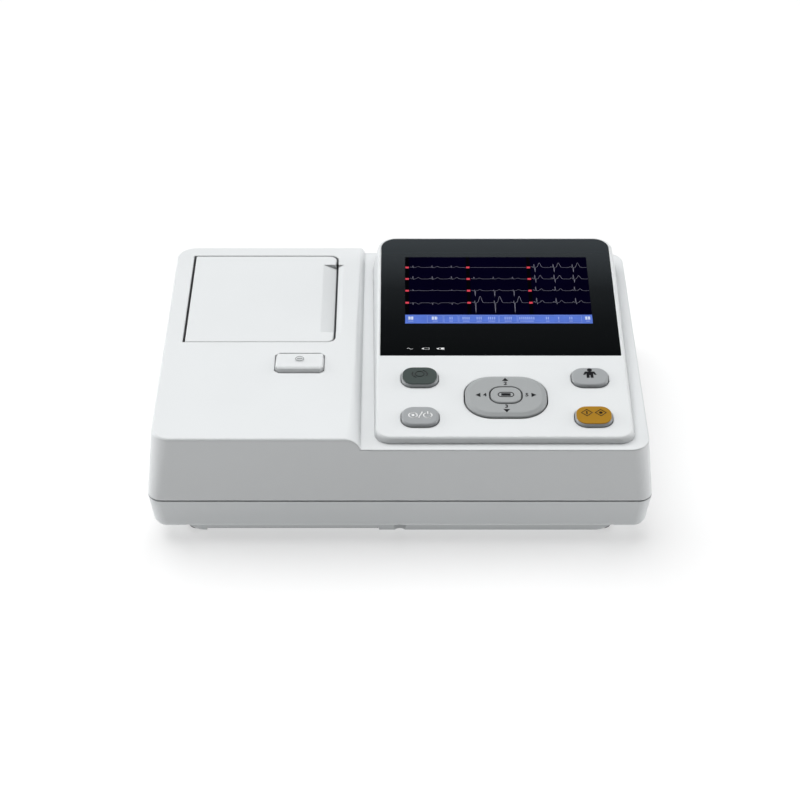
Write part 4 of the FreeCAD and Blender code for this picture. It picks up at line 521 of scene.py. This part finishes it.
def cap(middle, size, corner, span, edge):
    """A pad with round corners and a softly rounded upper edge."""
    deselect()
    low, high = span
    bpy.ops.mesh.primitive_cube_add(size=1, location=(*middle, (low + high) / 2),
                                    scale=(*size, high - low))
    piece = bpy.context.object
    bpy.ops.object.transform_apply(location=True, rotation=True, scale=True)
    bpy.ops.object.mode_set(mode="EDIT")
    choose(piece, "EDGE", lambda e: abs(e.verts[0].co.z - e.verts[1].co.z) > TINY)
    bpy.ops.mesh.bevel(offset=corner, segments=CORNER_STEPS, affect="EDGES")
    choose(piece, "EDGE", lambda e: all(v.co.z > high - TINY for v in e.verts))
    bpy.ops.mesh.bevel(offset=edge, segments=EDGE_STEPS, affect="EDGES")
    bpy.ops.object.mode_set(mode="OBJECT")
    return piece


def slope_rim(piece, high, rim, drop):
    """Gives a pad's upper face a sloping rim of a width, that falls by a drop."""
    bpy.ops.object.mode_set(mode="EDIT")
    choose(piece, "FACE", lambda f: all(v.co.z > high - TINY for v in f.verts))
    bpy.ops.mesh.inset(thickness=rim)
    bpy.ops.transform.translate(value=(0, 0, drop))
    choose(piece, "EDGE", lambda e: all(v.co.z > high + drop - TINY for v in e.verts))
    bpy.ops.mesh.bevel(offset=RIM_ROUNDING * rim, segments=EDGE_STEPS, affect="EDGES")
    bpy.ops.object.mode_set(mode="OBJECT")


def cut(piece, cutter):
    """Cuts a piece by another, which is used up."""
    take_up(piece)
    bpy.ops.object.modifier_add(type="BOOLEAN")
    modifier = piece.modifiers[-1]
    modifier.object = cutter
    modifier.operation = "DIFFERENCE"
    modifier.solver = "EXACT"
    bpy.ops.object.modifier_apply(modifier=modifier.name)
    bpy.data.objects.remove(cutter)


def flat(points, height, rise):
    """A thin plate with a given outline, printed at a height."""
    deselect()
    bpy.ops.mesh.primitive_circle_add(vertices=len(points), radius=1, fill_type="NGON",
                                      location=(0, 0, 0))
    piece = bpy.context.object
    bpy.ops.object.mode_set(mode="EDIT")
    mesh = bmesh.from_edit_mesh(piece.data)
    mesh.verts.ensure_lookup_table()
    for vertex, (x, y) in zip(mesh.verts, points):
        vertex.co = (x, y, height)
    bmesh.update_edit_mesh(piece.data)
    bpy.ops.mesh.select_all(action="SELECT")
    bpy.ops.mesh.extrude_region_move(TRANSFORM_OT_translate={"value": (0, 0, rise)})
    bpy.ops.mesh.select_all(action="SELECT")
    bpy.ops.mesh.normals_make_consistent(inside=False)
    bpy.ops.object.mode_set(mode="OBJECT")
    return piece


def stroke(points, width, height, closed):
    """A printed line of a given width along points."""
    curve = bpy.data.curves.new("stroke", "CURVE")
    curve.dimensions = "3D"
    curve.bevel_depth = width / 2
    curve.bevel_resolution = 0
    curve.use_fill_caps = True
    line = curve.splines.new("POLY")
    line.points.add(len(points) - 1)
    for point, (x, y) in zip(line.points, points):
        point.co = (x, y, height, 1)
    line.use_cyclic_u = closed
    piece = bpy.data.objects.new("stroke", curve)
    bpy.context.scene.collection.objects.link(piece)
    take_up(piece)
    bpy.ops.object.convert(target="MESH")
    return bpy.context.object


def digit(text, x, y, size, height):
    """A printed figure about a middle."""
    deselect()
    bpy.ops.object.text_add(location=(x, y, height))
    piece = bpy.context.object
    piece.data.body = text
    piece.data.size = size
    piece.data.align_x = "CENTER"
    piece.data.align_y = "CENTER"
    piece.data.extrude = INK
    piece.data.offset = BOLDNESS * size
    bpy.ops.object.convert(target="MESH")
    bpy.ops.object.transform_apply(location=True, rotation=True, scale=True)
    return bpy.context.object


def arc(x, y, radius, first=0.0, last=360.0, steps=28, flatten=1.0):
    """Points along an arc about a middle, from one angle to another in degrees."""
    angles = [math.radians(first + (last - first) * i / steps) for i in range(steps + 1)]
    return [(x + radius * math.cos(a), y + radius * flatten * math.sin(a)) for a in angles]


def rectangle(x, y, width, depth):
    """Corners of a rectangle about a middle."""
    return [(x - width / 2, y - depth / 2), (x + width / 2, y - depth / 2),
            (x + width / 2, y + depth / 2), (x - width / 2, y + depth / 2)]


class Sheet:
    """A print at a height: its plates and lines are drawn in millimetres from its own zero point."""

    def __init__(self, x, y, height):
        self.x = x
        self.y = y
        self.height = height
        self.pieces = []

    def put(self, points):
        """Points on the sheet, as places in metres."""
        return [(self.x + x * MM, self.y + y * MM) for x, y in points]

    def line(self, points, width, closed=False):
        self.pieces.append(stroke(self.put(points), width * MM, self.height, closed))

    def plate(self, points, layers=1):
        self.pieces.append(flat(self.put(points), self.height, layers * INK))

    def disc(self, x, y, radius, steps=12):
        self.plate(arc(x, y, radius, steps=steps)[:-1])

    def figure(self, text, at, size):
        x, y = self.put([at])[0]
        self.pieces.append(digit(text, x, y, size * MM, self.height))

    def settle(self, name, body, slot, material, axes=None):
        """Joins the print to one piece and puts it on its body, on the panel's axes or on given ones."""
        deselect()
        for piece in self.pieces:
            piece.select_set(True)
        bpy.context.view_layer.objects.active = self.pieces[0]
        if len(self.pieces) > 1:
            bpy.ops.object.join()
        settle(self.pieces[0], name, body, material, panel_frame() if axes is None else axes)


def key_places(sizes):
    """Middles of the corner keys on the panel."""
    left, right = sizes.keys_x - sizes.key_spread, sizes.keys_x + sizes.key_spread
    return {"mode": (left, sizes.key_back), "power": (left, sizes.key_front),
            "patient": (right, sizes.key_back), "start": (right, sizes.key_front)}


class RECORDER_OT_finishes(bpy.types.Operator):
    """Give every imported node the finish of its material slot"""
    bl_idname = "recorder.finishes"
    bl_label = "Finishes"

    def execute(self, context):
        finishes = slot_finishes(context.scene.recorder_colours)
        for node, slot in NODE_SLOTS.items():
            holder = frame["nodes"][node]
            if not holder.material_slots:
                holder.data.materials.append(finishes[slot])
            for material_slot in holder.material_slots:
                material_slot.material = finishes[slot]
        return {"FINISHED"}


def at_step_front(edge):
    """Whether an edge lies where the housing's step meets its front, which stays crisp."""
    sizes = bpy.context.scene.recorder_sizes
    return all(sizes.step_left < v.co.x < sizes.step_right and v.co.y < sizes.step_front
               and v.co.z > sizes.step_foot for v in edge.verts)


def copy_of(node):
    """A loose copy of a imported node."""
    shell = frame["nodes"][node].copy()
    shell.data = frame["nodes"][node].data.copy()
    shell.parent = None
    for key in list(shell.keys()):
        del shell[key]
    bpy.context.scene.collection.objects.link(shell)
    return shell


class RECORDER_OT_shells(bpy.types.Operator):
    """Stand smooth-shaded shells for the housings and the round pieces"""
    bl_idname = "recorder.shells"
    bl_label = "Shells"

    def execute(self, context):
        for node in SHELLS:
            shell = copy_of(node)
            take_up(shell)
            bpy.ops.object.mode_set(mode="EDIT")
            bpy.ops.mesh.select_all(action="SELECT")
            bpy.ops.mesh.remove_doubles(threshold=TINY / 10)
            bpy.ops.mesh.dissolve_limited(angle_limit=FLAT_ANGLE)
            choose(shell, "EDGE", at_step_front)
            bpy.ops.mesh.mark_sharp()
            bpy.ops.object.mode_set(mode="OBJECT")
            slot = NODE_SLOTS[node]
            material = finish_of(OWN_FINISHES.get(node, slot))
            settle(shell, node + "_shell", NODE_BODIES[node], material)
            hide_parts(node)
        return {"FINISHED"}


class RECORDER_OT_keys(bpy.types.Operator):
    """Model the four corner keys with their coloured inlays"""
    bl_idname = "recorder.keys"
    bl_label = "Corner keys"

    def execute(self, context):
        sizes = context.scene.recorder_sizes
        places = key_places(sizes)
        key_size = (sizes.key_width, sizes.key_depth)
        for name, at in places.items():
            key = cap(at, key_size, sizes.key_corner, (-sizes.key_foot, sizes.key_rise), sizes.key_edge)
            settle(key, name + "_key_cap", name, finish_of("key_grey"), panel_frame())
            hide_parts(name + "_key")
        inlay_size = [side - 2 * sizes.inlay_margin for side in key_size]
        span = (sizes.key_rise - sizes.key_edge, sizes.key_rise + sizes.inlay_rise)
        for name, slot in (("mode", "green_inlay"), ("start", "ochre_inlay")):
            inlay = cap(places[name], inlay_size, sizes.key_corner - sizes.inlay_margin, span,
                        sizes.inlay_edge)
            settle(inlay, name + "_inlay", name, finish_of(slot), panel_frame())
            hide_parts(name + "_key_inlay")
        return {"FINISHED"}


class RECORDER_OT_pad(bpy.types.Operator):
    """Model the navigation pad and the key in its middle"""
    bl_idname = "recorder.pad"
    bl_label = "Navigation pad"

    def execute(self, context):
        sizes = context.scene.recorder_sizes
        middle = (sizes.keys_x, sizes.pad_middle)
        enter_size = (sizes.enter_width, sizes.enter_depth)
        shoulder = sizes.key_rise - sizes.pad_drop
        pad = cap(middle, (sizes.pad_width, sizes.pad_depth), sizes.pad_corner,
                  (-sizes.pad_foot, shoulder), sizes.pad_edge)
        slope_rim(pad, shoulder, sizes.pad_rim, sizes.pad_drop)
        well_size = [side + 2 * sizes.enter_gap for side in enter_size]
        cut(pad, cap(middle, well_size, sizes.enter_corner + sizes.enter_gap,
                     (-sizes.well_reach, sizes.well_reach), sizes.cutter_edge))

        def round_the_well(edge):
            return all(abs(v.co.x - middle[0]) < well_size[0] / 2 + TINY
                       and abs(v.co.y - middle[1]) < well_size[1] / 2 + TINY
                       and v.co.z > sizes.key_rise - TINY for v in edge.verts)

        bpy.ops.object.mode_set(mode="EDIT")
        choose(pad, "EDGE", round_the_well)
        bpy.ops.mesh.bevel(offset=sizes.well_edge, segments=HOLE_STEPS, affect="EDGES")
        bpy.ops.object.mode_set(mode="OBJECT")
        settle(pad, "navigation_pad_cap", "rocker_pad", finish_of("pad_grey"), panel_frame())
        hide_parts("navigation_pad")
        enter = cap(middle, enter_size, sizes.enter_corner, (-sizes.enter_foot, sizes.enter_rise),
                    sizes.pad_edge)
        settle(enter, "enter_key_cap", "enter", finish_of("pad_grey"), panel_frame())
        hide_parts("enter_key")
        return {"FINISHED"}


def mode_symbol(sheet):
    """A ring between two arcs."""
    sheet.line(arc(0, 0, 2.4, flatten=0.95), FINE_LINE, closed=True)
    for first in (150, -30):
        sheet.line(arc(0, 0, 4.2, first, first + 95, 14, 0.8), FINE_LINE)


def power_symbol(sheet):
    """A ring with a dot, a slash, and an open ring with a bar."""
    left, right, radius = -3.9, 4.2, 2.3
    sheet.line(arc(left, 0, radius, flatten=0.9), BOLD_LINE, closed=True)
    sheet.disc(left, 0, 0.8)
    sheet.line([(-1.0, -2.6), (1.2, 2.8)], BOLD_LINE)
    sheet.line(arc(right, 0, radius, 120, 420, flatten=0.9), BOLD_LINE)
    sheet.line([(right, 0.6), (right, 3.0)], BOLD_LINE)


def patient_symbol(sheet):
    """A standing figure: head, trunk, arms and legs."""
    sheet.disc(0, 3.3, 1.4, steps=16)
    sheet.plate(rectangle(0, 0.35, 3.8, 3.1))
    arm = [(3.8, -0.9), (2.5, -0.9), (1.9, 0.6), (1.9, 1.9), (2.6, 1.9)]
    for side in (-1, 1):
        sheet.plate([(side * x, y) for x, y in arm])
        sheet.plate(rectangle(side * 1.1, -2.4, 1.6, 2.4))


def start_symbol(sheet):
    """Two diamonds, one with a bar in it and one with a dot."""
    left, right = -3.8, 3.8
    for x in (left, right):
        sheet.line([(x - 3.0, 0), (x, 2.7), (x + 3.0, 0), (x, -2.7)], FINE_LINE, closed=True)
    sheet.plate(rectangle(left, 0, 0.7, 2.6))
    sheet.disc(right, 0, 1.0)


def pad_arrows(sheet):
    """An arrow with a number behind it on each side of the pad."""
    arrow_length, arrow_half, number_size = 2.7, 1.8, 3.8
    for number, way, reach, number_back in (("5", (1, 0), 16.8, 5.2), ("2", (0, 1), 14.9, 5.0),
                                            ("4", (-1, 0), 16.8, 5.2), ("3", (0, -1), 14.9, 5.0)):
        out = Vector(way)
        side = Vector((-out.y, out.x))
        foot = out * (reach - arrow_length)
        sheet.plate([out * reach, foot + side * arrow_half, foot - side * arrow_half])
        sheet.figure(number, out * (reach - number_back), number_size)


def enter_symbol(sheet):
    """A bar in an oblong ring."""
    sheet.line(arc(2.4, 0, 1.9, -90, 90, 10) + arc(-2.4, 0, 1.9, 90, 270, 10), FINE_LINE, closed=True)
    sheet.plate(rectangle(0, 0, 5.2, 2.2))


def lamp_symbols(sheet):
    """A wave for the mains lamp, and batteries for two more."""
    steps, wave_x, wave_width, wave_height = 12, -51.4, 3.2, 0.6
    sheet.line([(wave_x + (i / steps - 0.5) * wave_width, wave_height * math.sin(i / steps * 2 * math.pi))
                for i in range(steps + 1)], LAMP_LINE)
    for x in (-42.0, -33.5):
        sheet.line(rectangle(x, 0, 3.0, 1.5), LAMP_LINE, closed=True)
        sheet.plate(rectangle(x - 2.1, 0, 1.0, 0.8))
    sheet.plate(rectangle(-33.0, 0, 1.6, 1.3), layers=2)


def release_symbol(sheet):
    """A ring with a bar."""
    sheet.line(arc(0, 0, 2.3), HAIR_LINE, closed=True)
    sheet.plate(rectangle(0, 0.3, 3.0, 0.5), layers=3)


class RECORDER_OT_symbols(bpy.types.Operator):
    """Print the symbols of the keys, the pad, the window and the release button"""
    bl_idname = "recorder.symbols"
    bl_label = "Symbols"

    def execute(self, context):
        sizes = context.scene.recorder_sizes
        dark = ink("dark_ink", context.scene.recorder_colours.ink, 0.2)
        pale = ink("pale_ink", (0.85, 0.86, 0.86), 0.05)
        grey = ink("grey_ink", (0.20, 0.21, 0.22), 0.1)
        keys = key_places(sizes)
        pad = (sizes.keys_x, sizes.pad_middle)
        top = sizes.key_rise
        inlay = top + sizes.inlay_rise
        for draw, (x, y), lift, height, body, slot, material in (
                (mode_symbol, keys["mode"], 1.4 * MM, inlay, "mode", "green_inlay", dark),
                (power_symbol, keys["power"], 0.0, top, "power", "key_grey", pale),
                (patient_symbol, keys["patient"], 1.9 * MM, top, "patient", "key_grey", dark),
                (start_symbol, keys["start"], 1.8 * MM, inlay, "start", "ochre_inlay", dark),
                (pad_arrows, pad, 0.0, top, "rocker_pad", "pad_grey", dark),
                (enter_symbol, pad, 0.0, sizes.enter_rise, "enter", "pad_grey", dark),
                (lamp_symbols, (0.0, sizes.lamps), 0.0, 0.0, "case", "window_black", pale)):
            sheet = Sheet(x, y + lift, height)
            draw(sheet)
            sheet.settle(draw.__name__, body, slot, material)
        low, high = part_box("release_button")
        lift, sink = 1.0 * MM, 0.1 * MM
        sheet = Sheet((low.x + high.x) / 2, (low.y + high.y) / 2 + lift, high.z - sink)
        release_symbol(sheet)
        sheet.settle("release_symbol", "release", "white_case", grey, Matrix.Identity(4))
        return {"FINISHED"}


def heart_beat(phase, form):
    """Height of a trace at a phase of its beat: an early wave, a sharp one, a dip and a late round one."""
    sharp, dip, late = form
    waves = ((0.25 * sharp, 0.22, 0.040), (sharp, 0.34, 0.018), (dip, 0.375, 0.016), (late, 0.62, 0.085))
    return sum(height * math.exp(-((phase - middle) / width) ** 2) for height, middle, width in waves)


def heart_trace(x, y, width, form):
    """Points of a trace that runs to the right from a place."""
    shares = [step / TRACE_STEPS for step in range(TRACE_STEPS + 1)]
    return [(x + share * width, y + TRACE_HEIGHT * heart_beat((share * BEATS + FIRST_PHASE) % 1.0, form))
            for share in shares]


def soft_key_marks(sheet, wide, bar):
    """Frames of the soft keys, and groups of short bars over a line."""
    margin, gap, frame_line = 0.7, 0.3, 0.22
    pitch, bar_width, bar_depth, line_depth = 1.15, 0.62, 2.4, 0.5
    for first, last in zip(SOFT_KEY_EDGES, SOFT_KEY_EDGES[1:]):
        sheet.line(rectangle((first + last) / 2 * wide, bar / 2, (last - first) * wide - 2 * gap,
                             bar - 2 * margin), frame_line, closed=True)
    for share, bars in SOFT_KEY_BARS:
        for rank in range(bars):
            x = share * wide + (rank - (bars - 1) / 2) * pitch
            sheet.plate(rectangle(x, BARS_UP * bar, bar_width, bar_depth))
        sheet.plate(rectangle(share * wide, LINES_UP * bar, bars, line_depth))


def soft_key_icons(sheet, wide, bar):
    """Pairs of bright blocks on the bar."""
    block_width, block_depth = 1.2, 2.8
    for share in SOFT_KEY_ICONS:
        for shift in (-0.8, 0.8):
            sheet.plate(rectangle(share * wide + shift, BARS_UP * bar, block_width, block_depth), layers=2)


class RECORDER_OT_screen(bpy.types.Operator):
    """Lay the lit picture on the window: ground, soft keys, lead marks and heart traces"""
    bl_idname = "recorder.screen"
    bl_label = "Screen picture"

    def execute(self, context):
        sizes = context.scene.recorder_sizes
        tints = context.scene.recorder_colours
        film = sizes.film
        corner = (-sizes.screen_width / 2, sizes.screen_middle - sizes.screen_depth / 2)
        wide, deep, bar = (size / MM for size in (sizes.screen_width, sizes.screen_depth, sizes.toolbar))
        column = wide / len(LEAD_FORMS)
        lead_x, lead_width, lead_depth, lane_width = 1.2, 2.0, 1.6, 2.2
        trace_x, trace_end = 2.8, 0.2

        ground = cap((0, sizes.screen_middle), (sizes.screen_width, sizes.screen_depth),
                     sizes.screen_corner, (-sizes.screen_sink, film), sizes.screen_edge)
        settle(ground, "picture_plate", "case",
               lit("picture_ground", tints.picture, 0.9, variation=0.4, scale=40.0), panel_frame())

        lanes = Sheet(*corner, film)
        strip = Sheet(*corner, film)
        marks = Sheet(*corner, film + INK)
        icons = Sheet(*corner, film + INK)
        traces = Sheet(*corner, film + 2 * INK)
        leads = Sheet(*corner, film + INK / 2)
        columns = [rank * column for rank in range(len(LEAD_FORMS))]
        for x in columns:
            lanes.plate(rectangle(x + lead_x, (deep + bar) / 2, lane_width, deep - bar), layers=0.5)
        strip.plate(rectangle(wide / 2, bar / 2, wide, bar))
        soft_key_marks(marks, wide, bar)
        soft_key_icons(icons, wide, bar)
        for x, forms in zip(columns, LEAD_FORMS):
            for share, form in zip(LEAD_ROWS, forms):
                y = deep * (1 - share)
                leads.plate(rectangle(x + lead_x, y, lead_width, lead_depth), layers=2)
                points = heart_trace(x + trace_x, y, column - trace_x - trace_end, form)
                traces.line(points, sizes.trace / MM)
        for sheet, name, material in (
                (lanes, "picture_lanes", lit("gap_black", (0.001, 0.001, 0.002), 0.1)),
                (strip, "soft_key_bar", lit("bar_blue", tints.bar, 0.55)),
                (marks, "soft_key_marks", lit("bar_pale", (0.20, 0.27, 0.52), 0.5)),
                (icons, "soft_key_icons", lit("bar_white", (0.42, 0.46, 0.56), 0.5)),
                (traces, "heart_traces", lit("trace_grey", tints.line, 0.6)),
                (leads, "lead_marks", lit("mark_red", tints.mark, 0.7))):
            sheet.settle(name, "case", "screen", material)
        return {"FINISHED"}


def add_light(rotation, energy, spread):
    """A far light that shines from one side, with soft shadows."""
    bpy.ops.object.light_add(type="SUN", rotation=rotation)
    light = bpy.context.object
    light.data.energy = energy
    light.data.angle = spread
    return light


class RECORDER_OT_stage(bpy.types.Operator):
    """Set up the floor, the soft lights and the camera"""
    bl_idname = "recorder.stage"
    bl_label = "Stage"

    def execute(self, context):
        studio = context.scene.recorder_studio
        deselect()
        bpy.ops.mesh.primitive_plane_add(size=studio.floor_size, location=(0, 0, 0))
        floor = context.object
        floor.name = "floor"
        finish = Finish("studio_floor")
        tint = tuple(context.scene.recorder_colours.floor)
        finish.set(Base_Color=finish.blend(finish.noise(3.0), shade(tint, 0.995), tint),
                   Roughness=0.20 + 0.04 * finish.noise(40.0),
                   Emission_Color=(1, 1, 1, 1), Emission_Strength=studio.floor_glow)
        floor.data.materials.append(finish.material)

        sun = add_light((-studio.sun_back, -studio.sun_left, 0), studio.sun, studio.sun_spread)
        sun.visible_glossy = False
        for side in (-1, 1):
            add_light((0, side * studio.side_lean, side * studio.side_turn), studio.side, studio.side_spread)
        world = bpy.data.worlds.new("studio")
        world.use_nodes = True
        sky = world.node_tree.nodes["Background"].inputs
        sky["Color"].default_value = (1, 1, 1, 1)
        sky["Strength"].default_value = studio.sky
        context.scene.world = world
        world.cycles_visibility.glossy = False

        bpy.ops.object.camera_add(location=studio.camera, rotation=(math.pi / 2 - studio.camera_fall, 0, 0))
        context.object.data.lens = studio.lens
        context.scene.camera = context.object
        context.scene.view_settings.view_transform = "Standard"
        return {"FINISHED"}


STEPS = (RECORDER_OT_finishes, RECORDER_OT_shells, RECORDER_OT_keys, RECORDER_OT_pad,
         RECORDER_OT_symbols, RECORDER_OT_screen, RECORDER_OT_stage)


class RECORDER_PT_dressing(bpy.types.Panel):
    """Lists the steps that dress the machine"""
    bl_label = "Electrocardiograph"
    bl_idname = "RECORDER_PT_dressing"
    bl_space_type = "VIEW_3D"
    bl_region_type = "UI"
    bl_category = "Electrocardiograph"

    def draw(self, context):
        for step in STEPS:
            self.layout.operator(step.bl_idname)


GROUPS = {"recorder_sizes": RecorderSizes, "recorder_colours": RecorderColours,
          "recorder_studio": RecorderStudio}
CLASSES = (*GROUPS.values(), *STEPS, RECORDER_PT_dressing)


def register():
    for kind in CLASSES:
        bpy.utils.register_class(kind)
    for name, group in GROUPS.items():
        setattr(bpy.types.Scene, name, PointerProperty(type=group))


def unregister():
    for name in GROUPS:
        delattr(bpy.types.Scene, name)
    for kind in reversed(CLASSES):
        bpy.utils.unregister_class(kind)


def main():
    register()
    bpy.ops.recorder.finishes()
    bpy.ops.recorder.shells()
    bpy.ops.recorder.keys()
    bpy.ops.recorder.pad()
    bpy.ops.recorder.symbols()
    bpy.ops.recorder.screen()
    bpy.ops.recorder.stage()


if __name__ == "__main__":
    main()
